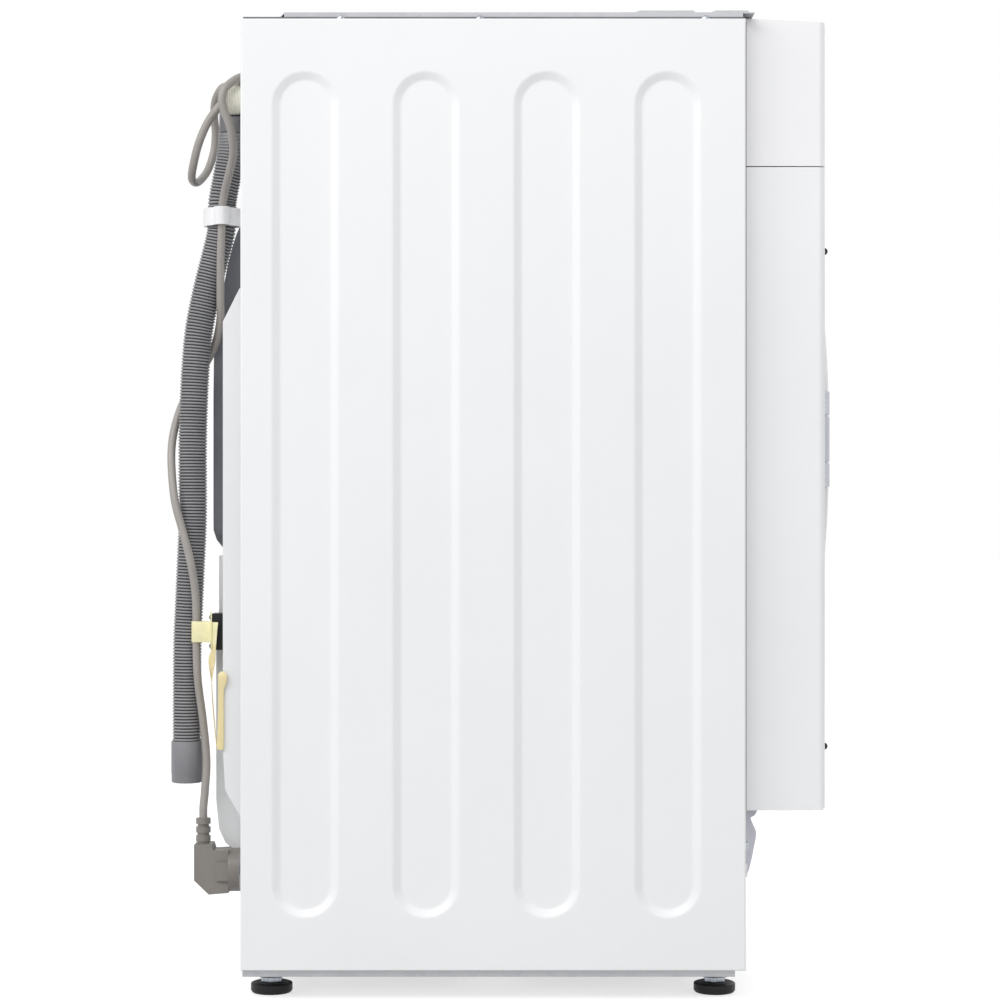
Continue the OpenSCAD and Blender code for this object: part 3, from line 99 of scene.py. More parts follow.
# The drain hose's and the lead's routes: X, distance behind the side panel's rear edge, Z, in mm
HOSE_ROUTE = [
    (-192, 17, 750), (-192, 17, 742), (-192, 17, 733), (-192, 18.5, 715),
    (-192, 22.5, 693), (-192, 26, 674), (-192, 26.5, 660), (-192, 27.5, 646), (-192, 32.5, 625),
    (-192, 40, 595), (-192, 46.5, 562), (-192, 49.5, 530), (-192, 51, 500), (-192, 52, 460),
    (-192, 52, 400), (-192, 53.5, 362), (-192, 55, 328), (-192, 56.5, 293), (-192, 57, 241),
    (-192, 57, 206), (-192, 57, 170),
]
LEAD_ROUTE = [
    (-160, 22, 778), (-160, 28, 778), (-158, 32, 775), (-151, 37, 767),
    (-142, 39, 755), (-135, 38.5, 741), (-133, 40, 725.5), (-138, 44.5, 708.5), (-151, 49.5, 697.5),
    (-168, 52.5, 692.5), (-186, 53.5, 694.5), (-199, 50.5, 704.5), (-206, 45, 722), (-207, 37, 740),
    (-206, 27, 754), (-207, 18, 764), (-213, 10, 771), (-225, 6, 775), (-238, 7, 773), (-247, 12, 768),
    (-252, 18, 761), (-253, 20, 752),
    (-252, 18, 742), (-250, 14, 732), (-246, 12, 722), (-238, 12, 709), (-227, 16, 696), (-216, 21, 682),
    (-210, 24, 670), (-209, 25, 659), (-209, 25, 648), (-208, 26, 621), (-201, 27, 587), (-193, 28, 570),
    (-182, 34, 549), (-175, 46, 528), (-176, 59, 506), (-181, 66, 488), (-188, 70, 467), (-195, 70, 445),
    (-204, 66, 414), (-208, 59, 389), (-210, 52, 363), (-208, 48, 337), (-207, 47, 311), (-207, 47, 291),
    (-205, 46, 259), (-201, 42, 224), (-201, 39, 190), (-204, 40, 164), (-207, 41, 150),
    (-207, 41, 141),
]


def linear(code):
    """An sRGB hex code as linear red, green, blue and alpha."""
    parts = [int(code[i:i + 2], 16) / 255 for i in (0, 2, 4)]
    return tuple(p / 12.92 if p <= 0.04045 else ((p + 0.055) / 1.055) ** 2.4 for p in parts) + (1.0,)


def length_value(name, text, value):
    return bpy.props.FloatProperty(name=name, description=text, default=value, unit="LENGTH", precision=5)


def paint_value(name, text, code):
    return bpy.props.FloatVectorProperty(
        name=name, description=text, default=linear(code), size=4, subtype="COLOR", min=0, max=1)


class WasherSizes(bpy.types.PropertyGroup):
    """Sizes that a user would change."""

    sheet_edge: length_value("Sheet edge", "Rounding along the edges of pressed sheet steel", 0.4 * MM)
    moulded_edge: length_value("Moulded edge", "Rounding along the edges of moulded plastic", 0.7 * MM)
    corner_bend: length_value("Corner bend", "Outside bend where a side panel turns in", 1.6 * MM)
    rib_bend: length_value("Rib bend", "Bend radius at the rims of the side panels' ribs", 5.5 * MM)
    hose_diameter: length_value("Hose diameter", "Over the drain hose's ribs", 25 * MM)
    groove: length_value("Hose groove", "Depth of the grooves between the hose's ribs", 1.6 * MM)
    cuff: length_value("Hose cuff", "Length of the smooth cuff on the hose's end", 36 * MM)
    lead_diameter: length_value("Lead diameter", "Over the mains lead's sheath", 7 * MM)
    thread_pitch: length_value("Thread pitch", "Of the water inlet's pipe thread", 1.814 * MM)
    spring_wire: length_value("Spring wire", "Diameter of the suspension springs' wire", 3.2 * MM)


class WasherColours(bpy.types.PropertyGroup):
    """Colours that a user would change."""

    enamel: paint_value("Enamel", "Stove enamel on the steel panels", "F4F5F6")
    plastic: paint_value("White plastic", "Control panel, drawer front and door", "F5F5F7")
    hose: paint_value("Hose", "Corrugated drain hose", "9A9A9D")
    lead: paint_value("Lead", "Mains lead's sheath", "A39E99")
    plug: paint_value("Plug", "Moulded plug", "8A8580")
    strap: paint_value("Strap", "Band that holds the lead", "FFF9C8")
    inlet: paint_value("Inlet", "Nylon water inlet", "FFFEF0")
    cover: paint_value("Rear cover", "Moulded cover over the belt", "7A7C82")
    gasket: paint_value("Gasket", "Door seal", "93969B")
    floor: paint_value("Floor", "Studio floor", "BFBFBF")


def sizes():
    return bpy.context.scene.washer_sizes


def colours():
    return bpy.context.scene.washer_colours


# Modelling by hand: selections, primitives and edit mode


def rest():
    """Leaves edit mode and selects nothing."""
    if bpy.context.object and bpy.context.object.mode != "OBJECT":
        bpy.ops.object.mode_set(mode="OBJECT")
    bpy.ops.object.select_all(action="DESELECT")


def hold(piece):
    """Makes a piece the only selected and the active one."""
    rest()
    piece.select_set(True)
    bpy.context.view_layer.objects.active = piece
    return piece


def primitive(kind, name, **values):
    rest()
    getattr(bpy.ops.mesh, f"primitive_{kind}_add")(**values)
    piece = bpy.context.object
    piece.name = piece.data.name = name
    return piece


def edit(piece):
    """Edit mode with everything selected."""
    if bpy.context.object != piece or piece.mode != "EDIT":
        hold(piece)
        bpy.ops.object.mode_set(mode="EDIT")
    bpy.ops.mesh.select_all(action="SELECT")


def pick(piece, test, kind="FACE"):
    """In edit mode, selects only the faces, edges or vertices that pass the test."""
    edit(piece)
    bpy.ops.mesh.select_mode(type=kind)
    bpy.ops.mesh.select_all(action="DESELECT")
    mesh = bmesh.from_edit_mesh(piece.data)
    group = {"FACE": mesh.faces, "EDGE": mesh.edges, "VERT": mesh.verts}[kind]
    found = 0
    for element in group:
        if test(element):
            element.select_set(True)
            found += 1
    mesh.select_flush_mode()
    bmesh.update_edit_mesh(piece.data)
    if not found:
        raise RuntimeError(f"nothing to pick on {piece.name}")


def apply_modifier(piece, kind, **values):
    hold(piece)
    modifier = piece.modifiers.new(kind.title(), kind)
    for key, value in values.items():
        setattr(modifier, key, value)
    bpy.ops.object.modifier_apply(modifier=modifier.name)


def settle(piece):
    """Puts a piece's place into its mesh, so that its object sits at the origin."""
    hold(piece)
    bpy.ops.object.transform_apply(location=True, rotation=True, scale=True)


def mend(piece, gap=0.01 * MM):
    """Merges doubled points and turns every face outwards."""
    edit(piece)
    bpy.ops.mesh.remove_doubles(threshold=gap)
    bpy.ops.mesh.normals_make_consistent(inside=False)
    rest()


def smooth(piece, angle=32):
    hold(piece)
    bpy.ops.object.shade_smooth_by_angle(angle=math.radians(angle), keep_sharp_edges=False)


def place(piece, slot, body, node=None, paint=None):
    """Gives a finished piece its material, from the paint or else the slot, puts it on its body and hides the
    CAD node that it stands for.
    """
    if paint:
        piece.data.materials.clear()
    if not piece.data.materials:
        piece.data.materials.append(finish(paint or slot))
    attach(piece, body)
    if node:
        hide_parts(node)
    return piece


def joined(pieces, name):
    rest()
    for piece in pieces:
        piece.select_set(True)
    bpy.context.view_layer.objects.active = pieces[0]
    bpy.ops.object.join()
    pieces[0].name = pieces[0].data.name = name
    return pieces[0]


def linked(name, data):
    """A new object for its data, in the scene."""
    piece = bpy.data.objects.new(name, data)
    bpy.context.scene.collection.objects.link(piece)
    return piece


def from_faces(name, points, faces):
    data = bpy.data.meshes.new(name)
    data.from_pydata(points, [], faces)
    return linked(name, data)


def rows_joined(rows, sides):
    """Four-sided faces between rings of points that follow each other."""
    faces = []
    for first in range(0, (rows - 1) * sides, sides):
        for k in range(sides):
            m = (k + 1) % sides
            faces.append((first + k, first + m, first + sides + m, first + sides + k))
    return faces


def copied(piece, name, matrix=None):
    """A copy with its own mesh, moved by a matrix."""
    twin = piece.copy()
    twin.data = piece.data.copy()
    twin.name = twin.data.name = name
    bpy.context.scene.collection.objects.link(twin)
    if matrix is not None:
        twin.data.transform(matrix)
    return twin


# Nodes whose flat faces have holes keep four-sided faces, because one big face would fill its hole
HOLED = ("control_panel", "drawer_tray", "rear_cover", "control_board", "door_frame", "door_hinge",
         "drawer_front", "dispenser_housing", "drum_spider")


def merged_copy(node):
    """A copy of a CAD node with its loose triangles merged into clean faces."""
    twin = copied(NODES[node], node + "_dressed")
    twin.parent = None
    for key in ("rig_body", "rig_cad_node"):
        if key in twin:
            del twin[key]
    twin.data.materials.clear()
    edit(twin)
    bpy.ops.mesh.remove_doubles(threshold=0.004 * MM)
    if node in HOLED:
        bpy.ops.mesh.tris_convert_to_quads(face_threshold=math.radians(0.4), shape_threshold=math.pi)
    else:
        bpy.ops.mesh.dissolve_limited(angle_limit=math.radians(0.4))
    rest()
    return twin


def softened(node, width, segments=2, angle=40):
    """A merged copy of a CAD node with its sharp edges rounded."""
    piece = merged_copy(node)
    apply_modifier(piece, "BEVEL", width=width, segments=segments, limit_method="ANGLE",
                   angle_limit=math.radians(angle), use_clamp_overlap=True, miter_outer="MITER_ARC")
    smooth(piece)
    hold(piece)
    apply_modifier(piece, "WEIGHTED_NORMAL", keep_sharp=True, weight=80)
    return piece


def turned(name, profile, centre, axis, steps=64):
    """A turned piece. The profile is pairs of radius and distance along the axis, from end to end."""
    axis = Vector(axis)
    side = axis.orthogonal().normalized()
    points = [Vector(centre) + side * r + axis * d for r, d in profile]
    piece = primitive("plane", name, size=0.01)
    edit(piece)
    bpy.ops.mesh.select_mode(type="VERT")
    bpy.ops.mesh.merge(type="CENTER")
    bpy.ops.transform.translate(value=points[0])
    for last, point in zip(points, points[1:]):
        bpy.ops.mesh.extrude_region_move(TRANSFORM_OT_translate={"value": point - last})
    bpy.ops.mesh.select_all(action="SELECT")
    bpy.ops.mesh.spin(steps=steps, angle=2 * math.pi, center=Vector(centre), axis=axis)
    mend(piece)
    return piece


def wire(name, points, radius):
    """A round wire along points, as a mesh."""
    hold(strand(name, points, radius, 2))
    bpy.ops.object.convert(target="MESH")
    return bpy.context.object


def strand(name, points, radius, sides):
    """A curve of one spline along points, with a round section."""
    data = bpy.data.curves.new(name, "CURVE")
    data.dimensions = "3D"
    data.bevel_depth = radius
    data.bevel_resolution = sides
    data.use_fill_caps = True
    spline = data.splines.new("POLY")
    spline.points.add(len(points) - 1)
    for target, point in zip(spline.points, points):
        target.co = (*point, 1)
    spline.use_smooth = True
    return linked(name, data)


def route(points, steps):
    """The part's smooth curve through its given points, in metres."""
    p = [Vector((x * MM, Y_REAR + y * MM, z * MM)) for x, y, z in points]
    out = []
    for i in range(len(p) - 1):
        a, b, c, d = p[max(i - 1, 0)], p[i], p[i + 1], p[min(i + 2, len(p) - 1)]
        for k in range(steps):
            t = k / steps
            out.append(0.5 * (2 * b + (c - a) * t + (2 * a - 5 * b + 4 * c - d) * t * t
                              + (3 * b - a - 3 * c + d) * t * t * t))
    return out + [p[-1]]


class Line:
    """A line that can be walked by its running length."""

    def __init__(self, points):
        self.points = points
        self.at = [0.0]
        for a, b in zip(points, points[1:]):
            self.at.append(self.at[-1] + (b - a).length)
        self.total = self.at[-1]

    def place(self, s):
        s = min(max(s, 0), self.total)
        after = next((k for k, v in enumerate(self.at) if v > s), len(self.at) - 1)
        i = max(0, min(len(self.at) - 2, after - 1))
        span = self.at[i + 1] - self.at[i]
        return self.points[i].lerp(self.points[i + 1], (s - self.at[i]) / span if span else 0)


LETTER_DEPTH = 0.04 * MM


def written(name, text, size, centre):
    """A generic number or sign, printed on a face that looks along -Y."""
    rest()
    bpy.ops.object.text_add(location=(0, 0, 0))
    piece = bpy.context.object
    piece.data.body = text
    piece.data.size = size
    piece.data.align_x = "CENTER"
    piece.data.align_y = "CENTER"
    piece.data.extrude = LETTER_DEPTH / 2
    bpy.ops.object.convert(target="MESH")
    piece = bpy.context.object
    piece.name = piece.data.name = name
    piece.data.transform(Matrix.Translation(centre) @ Matrix.Rotation(math.pi / 2, 4, "X"))
    return piece


def slab(name, low, high):
    """A box between two corners."""
    low, high = Vector(low), Vector(high)
    piece = primitive("cube", name, size=1, location=(low + high) / 2)
    piece.scale = high - low
    settle(piece)
    return piece


# Materials


def add_node(tree, kind, values=None, links=None, **settings):
    """Adds one node with its settings, its sockets' values and its links."""
    made = tree.nodes.new("ShaderNode" + kind)
    for key, value in settings.items():
        setattr(made, key, value)
    for key, value in (values or {}).items():
        made.inputs[key].default_value = value
    for key, (source, output) in (links or {}).items():
        tree.links.new(source.outputs[output], made.inputs[key])
    return made


class Surface:
    """A material in the making. Its colour is one of the user's colours or a hex code."""

    def __init__(self, name, colour, roughness, metallic=0.0, **values):
        self.material = bpy.data.materials.new(name)
        self.material.use_nodes = True
        self.tree = self.material.node_tree
        self.shader = self.tree.nodes["Principled BSDF"]
        colour = getattr(colours(), colour, colour)
        self.colour = linear(colour) if isinstance(colour, str) else tuple(colour)
        values.update(Base_Color=self.colour, Roughness=roughness, Metallic=metallic)
        for key, value in values.items():
            self.shader.inputs[key.replace("_", " ")].default_value = value
        self.coords = self.add("TexCoord")

    def add(self, kind, values=None, links=None, **settings):
        return add_node(self.tree, kind, values, links, **settings)

    def feed(self, key, source, output):
        self.tree.links.new(source.outputs[output], self.shader.inputs[key])

    def tone(self, shade):
        """A hex code's colour, or the material's own colour times a number."""
        if isinstance(shade, str):
            return linear(shade)
        return tuple(min(1.0, c * shade) for c in self.colour[:3]) + (1.0,)

    def noise(self, scale, detail):
        return self.add("TexNoise", {"Scale": scale, "Detail": detail}, {"Vector": (self.coords, "Object")})

    def graded(self, source, output, first, second, low=0.0, high=1.0):
        """The base colour runs from the first tone to the second along a node's output."""
        ramp = self.add("ValToRGB", links={"Fac": (source, output)})
        for i, (at, shade) in enumerate(((low, first), (high, second))):
            ramp.color_ramp.elements[i].position = at
            ramp.color_ramp.elements[i].color = self.tone(shade)
        self.feed("Base Color", ramp, "Color")
        return ramp

    def mottle(self, first, second, grain_mm, detail):
        """Two tones that drift into each other at a grain in millimetres."""
        noise = self.noise(1000 / grain_mm, detail)
        return noise, self.graded(noise, "Fac", first, second, 0.35, 0.65)

    def relief(self, source, output, depth_mm, strength):
        values = {"Distance": depth_mm * MM, "Strength": strength}
        bump = self.add("Bump", values, {"Height": (source, output)})
        self.feed("Normal", bump, "Normal")

    def rough_over(self, source, output, low, high):
        """Roughness between two values along a node's output."""
        span = self.add("MapRange", {"To Min": low, "To Max": high}, {"Value": (source, output)})
        self.feed("Roughness", span, "Result")

    def rough_drift(self, grain_mm, low, high):
        """Roughness that drifts between two values, as handling and flow leave it."""
        self.rough_over(self.noise(1000 / grain_mm, 4), "Fac", low, high)

    def mixed(self, factor, output, ramp, shade):
        """The base colour goes from a ramp's colour to another tone with a factor."""
        mix = self.add("Mix", data_type="RGBA", links={"Factor": (factor, output), 6: (ramp, "Color")})
        mix.inputs[7].default_value = self.tone(shade)
        self.feed("Base Color", mix, 2)


def galvanised_steel():
    # Hot-dip galvanised sheet: crystal spangle about 9 mm across, dull metallic grey
    made = Surface("Galvanised steel", "AEAFB2", 0.42, 0.7)
    cells = made.add("TexVoronoi", {"Scale": 110.0}, {"Vector": (made.coords, "Object")})
    made.graded(cells, "Color", "A6A7AB", "B4B5B8")
    made.rough_over(cells, "Color", 0.34, 0.52)
    return made


def hose_polypropylene():
    # Blow-moulded corrugated hose: satin grey ribs, with painted shade that darkens the grooves
    made = Surface("Hose polypropylene", "hose", 0.4, IOR=1.49)
    ramp = made.mottle(0.92, 1.04, 30, 3)[1]
    deep = made.add("Attribute", attribute_name="groove")
    # Painted shade: the colour darkens to about an eighth of itself at the bottom of each groove
    made.mixed(deep, "Fac", ramp, 0.12)
    made.rough_drift(8, 0.34, 0.48)
    return made


def strap_polyethylene():
    # Thin translucent yellow band, paler where light passes through it
    made = Surface("Strap polyethylene", "strap", 0.36, Transmission_Weight=0.05)
    ramp = made.mottle(0.9, 1, 9, 2)[1]
    # Below the band the hanging ends turn a darker, warmer yellow: painted shade, where they hang in the shade
    # behind the panel's edge
    split = made.add("SeparateXYZ", links={"Vector": (made.coords, "Object")})
    low = made.add("MapRange", {"From Min": 293 * MM, "From Max": 284 * MM}, {"Value": (split, "Z")})
    made.mixed(low, "Result", ramp, "F3E2AC")
    made.relief(made.noise(500, 2), "Fac", 0.05, 0.5)
    return made


def drawn_steel():
    # Plain pressed and drawn steel, faintly lined
    made = Surface("Drawn steel", "B7BABE", 0.33, 1.0)
    stretch = made.add("Mapping", {"Scale": (900.0, 30.0, 900.0)}, {"Vector": (made.coords, "Object")})
    lines = made.add("TexNoise", {"Scale": 1.0, "Detail": 3.0}, {"Vector": (stretch, "Vector")})
    made.graded(lines, "Fac", "9EA2A7", "C6C9CD")
    made.relief(lines, "Fac", 0.01, 0.5)
    return made


def drum_stainless():
    # Bright rolled stainless steel, punched with rows of 3.6 mm holes 15 mm apart
    made = Surface("Drum stainless steel", "C9CCD0", 0.22, 1.0)
    rows, hole_pitch = 96, 15 * MM
    centred = made.add("Mapping", {"Location": (0.0, 0.0, -AXIS_Z)}, {"Vector": (made.coords, "Object")})
    split = made.add("SeparateXYZ", links={"Vector": (centred, "Vector")})

    def maths(operation, *terms):
        node = made.add("Math", operation=operation)
        for i, term in enumerate(terms):
            if isinstance(term, tuple):
                made.tree.links.new(term[0].outputs[term[1]], node.inputs[i])
            else:
                node.inputs[i].default_value = term
        return (node, "Value")

    turn = maths("ARCTAN2", (split, "X"), (split, "Z"))
    # Counts of rows round the drum and of holes along it, moved up so that both stay above zero
    u = maths("ADD", maths("MULTIPLY", turn, rows / (2 * math.pi)), 200.0)
    v = maths("MULTIPLY", (split, "Y"), 1 / hole_pitch)
    stagger = maths("MULTIPLY", maths("MODULO", maths("FLOOR", u), 2.0), 0.5)
    du = maths("SUBTRACT", maths("FRACT", u), 0.5)
    dv = maths("SUBTRACT", maths("FRACT", maths("ADD", maths("ADD", v, stagger), 50.0)), 0.5)
    off = maths("SQRT", maths("ADD", maths("MULTIPLY", du, du), maths("MULTIPLY", dv, dv)))
    edge = made.add("MapRange", {"From Min": 0.1, "From Max": 0.15}, {"Value": off})
    # The drum's back, which faces along Y, has no holes
    geometry = made.add("NewGeometry")
    facing = made.add("SeparateXYZ", links={"Vector": (geometry, "Normal")})
    flat = maths("GREATER_THAN", maths("ABSOLUTE", (facing, "Y")), 0.5)
    shown = maths("MAXIMUM", (edge, "Result"), flat)
    # The holes are painted near-black: painted shade for the dark seen through them
    mix = made.add("Mix", {6: linear("17181A"), 7: made.colour}, {"Factor": shown}, data_type="RGBA")
    made.feed("Base Color", mix, 2)
    made.relief(*shown, 0.6, 0.8)
    return made


def silver_abs():
    # Satin silver-painted ABS
    made = Surface("Silver ABS", "C9CACE", 0.34, 0.55)
    made.graded(made.noise(2500, 2), "Fac", "BDBFC3", "D6D7DA")
    return made


def circuit_board():
    # Green solder mask over copper tracks a millimetre wide
    made = Surface("Circuit board", "1F5A3C", 0.35)
    values = {"Scale": 60.0, "Mortar Size": 0.03, "Color1": linear("1F5A3C"), "Color2": linear("1B5236"),
              "Mortar": linear("3B7F4E")}
    tracks = made.add("TexBrick", values, {"Vector": (made.coords, "Object")})
    made.feed("Base Color", tracks, "Color")
    return made


def plain(name, colour, roughness, metallic=0.0, mottle=None, grain=None, drift=None, **values):
    """A maker for a material: how its tones mottle, its grain in relief and how its roughness drifts.

    A grain without a scale follows the mottle's own noise."""
    def make():
        made = Surface(name, colour, roughness, metallic, **values)
        noise = made.mottle(*mottle)[0] if mottle else None
        if grain:
            scale, detail, depth_mm, strength = grain
            made.relief(made.noise(scale, detail) if scale else noise, "Fac", depth_mm, strength)
        if drift:
            made.rough_drift(*drift)
        return made
    return make


def moulded(name, colour, roughness, grain_mm, depth_mm, drift, **values):
    """A maker for a moulded plastic, with a spark-eroded grain and a slight drift of colour."""
    grain = (1000 / grain_mm, 2, depth_mm, 0.6)
    return plain(name, colour, roughness, 0.0, (drift, 1, 25, 3), grain, **values)


MAKERS = {
    "galvanised": galvanised_steel, "board": circuit_board, "yellow_band": strap_polyethylene,
    "steel": drawn_steel, "drum_steel": drum_stainless, "hose_plastic": hose_polypropylene,
    "silver_plastic": silver_abs,
    # Sprayed and baked white enamel on sheet steel, bright and softly glossy. Its orange peel is about 1 mm
    # across and is drawn at 3 mm so that it shows
    "white_enamel": plain("Stove enamel", "enamel", 0.34, 0.0, (0.985, 1, 120, 2), (330, 1, 0.012, 0.5),
                          Coat_Weight=0.15, Coat_Roughness=0.22),
    # Injection-moulded ABS with a fine satin grain
    "white_plastic": plain("White ABS", "plastic", 0.36, 0.0, (0.985, 1, 90, 2), (900, 2, 0.02, 0.5),
                           IOR=1.53),
    # Extruded PVC sheath: even grey-beige with a soft sheen
    "cord_sheath": plain("Sheath PVC", "lead", 0.38, 0.0, (0.94, 1, 18, 2), None, (5, 0.32, 0.46), IOR=1.52),
    # Bright zinc plating with a cool grey cast and slight dulling
    "zinc": plain("Zinc plate", "AEB4BA", 0.3, 0.95, ("8E959C", "B9BEC4", 4, 4), None, (2.5, 0.22, 0.42)),
    # Moulded EPDM door seal: matt grey with a bloom that comes off at the folds
    "gasket_rubber": plain("Seal rubber", "gasket", 0.6, 0.0, (0.82, 1, 14, 4), (1200, 2, 0.05, 0.6),
                           IOR=1.52),
    # Cast counterweight: grey cement with sand and small voids
    "concrete": plain("Cast concrete", "9A9A96", 0.85, 0.0, ("7F7F7B", "ABABA6", 5, 8), (0, 0, 0.8, 0.7)),
    # Die-cast aluminium: dull silver with a sandy skin
    "motor_alloy": plain("Cast aluminium", "B4B6B9", 0.45, 0.9, ("9FA2A6", "C2C4C7", 3, 5), (0, 0, 0.1, 0.5)),
    # Pressed soda-lime bowl, clear with a faint green-grey cast
    "bowl_glass": plain("Pressed glass", "E9F0F0", 0.03, grain=(25, 1, 0.3, 0.25), Transmission_Weight=1.0,
                        IOR=1.5),
    # Display segments lit from behind
    "segments": plain("Display segments", "CFE6F5", 0.4, Emission_Color=linear("BFE3FF"),
                      Emission_Strength=1.2),
    # Glossy dark grey cover that mirrors the studio at its top slope
    "grey_plastic": moulded("Dark polypropylene", "cover", 0.24, 2.0, 0.02, 0.9),
    # Moulded grey TPE cuff, plain and slightly scuffed
    "cuff_rubber": moulded("Cuff TPE", "8B8B8F", 0.46, 3.0, 0.05, 0.9),
    # Over-moulded PVC with a matt grain
    "plug_plastic": moulded("Plug PVC", "plug", 0.45, 0.9, 0.04, 0.9),
    # Moulded ivory nylon, slightly waxy
    "ivory_plastic": moulded("Inlet nylon", "inlet", 0.42, 1.4, 0.02, 0.97),
    # White polypropylene of the clip and the lead's gland
    "clip_plastic": moulded("Clip polypropylene", "F6F6F8", 0.34, 1.0, 0.02, 0.97),
    # Glass-filled black plastic with a dry surface
    "black_plastic": moulded("Black polypropylene", "0D0C11", 0.5, 1.0, 0.05, 0.8, Specular_IOR_Level=0.35),
    # Matt black rubber of the feet and the sump hose
    "black_rubber": moulded("Black rubber", "0B0B0D", 0.62, 0.8, 0.06, 0.8, Specular_IOR_Level=0.18),
    # Grey filled polypropylene with flow marks
    "tub_plastic": moulded("Tub polypropylene", "A6A8AC", 0.5, 6.0, 0.12, 0.9),
    # Pale grey polypropylene of the drawer's tray
    "tray_plastic": moulded("Tray polypropylene", "C9CDD3", 0.4, 1.6, 0.03, 0.95),
    # Thin white moulding that lets some light through. Its greyer, bluish white is painted shade from the front
    # box above it
    "flap_plastic": moulded("Flap polystyrene", "DDDDE8", 0.22, 2.0, 0.02, 0.97, Transmission_Weight=0.1),
    # Closed-cell foam tape, dark and dull: painted shadow of the cabinet's gaps where it shows
    "foam": moulded("Foam tape", "7C7D82", 0.85, 0.7, 0.1, 0.8),
    # Smoked acrylic over the display
    "display": moulded("Display acrylic", "16181C", 0.12, 5.0, 0.0, 0.9),
    # Grey pad-printed ink, slightly duller than the panel
    "ink": moulded("Print ink", "75787D", 0.5, 0.8, 0.01, 0.9),
}
_made = {}


def finish(name):
    """The material of a slot, made once."""
    if name not in _made:
        _made[name] = MAKERS[name]().material
    return _made[name]


def dress(node, width, segments=2, angle=40, slot=None):
    """A CAD node's softened copy, in its own material, on its own body."""
    piece = softened(node, width, segments, angle)
    piece.data.materials.append(finish(slot or SLOT_OF[node]))
    return place(piece, SLOT_OF[node], BODY_OF[node], node)


def stretched(piece, node):
    """Gives a piece that stands for a CAD node the node's material, hides the node and bakes the piece's place
    into its mesh.
    """
    piece.data.materials.append(finish(SLOT_OF[node]))
    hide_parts(node)
    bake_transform(piece)


def repaint(piece, slot, test):
    """Gives the faces whose middles pass the test another material."""
    piece.data.materials.append(finish(slot))
    index = len(piece.data.materials) - 1
    for face in piece.data.polygons:
        if test(face.center):
            face.material_index = index


# Camera, hose and lead

# How far the camera stands from the side panel, half the width that it sees there, and where it looks
CAMERA_AWAY, VIEW_HALF = 2100 * MM, 412.7 * MM
CAMERA_Y, CAMERA_Z = 18.95 * MM, 414.5 * MM

# The hose: its plain top, how many ribs it has, and one rib's shape from groove to groove
HOSE_TOP, HOSE_RIBS, RIB_SHAPE = 19 * MM, 196, (0.0, 0.5, 0.9, 1.0, 0.9, 0.5)
# The radii of its bore and of its cuff, and how many sides its mesh has
BORE_R, CUFF_R, HOSE_SIDES = 9.5 * MM, 13.5 * MM, 32
# How many steps the lead's curve has, and how far forward the plug's steel pins reach
LEAD_STEPS = 420
PLUG_PIN_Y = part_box("power_plug")[0].y + 19.2 * MM


def aim_camera():
    """The photograph's view: level, square to the left side."""
    data = bpy.data.cameras.new("Camera")
    data.sensor_fit = "HORIZONTAL"
    data.sensor_width = 36
    data.lens = data.sensor_width * CAMERA_AWAY / (2 * VIEW_HALF)
    camera = linked("Camera", data)
    camera.location = (-SIDE_X - CAMERA_AWAY, CAMERA_Y, CAMERA_Z)
    camera.rotation_euler = (math.pi / 2, 0, -math.pi / 2)
    bpy.context.scene.camera = camera


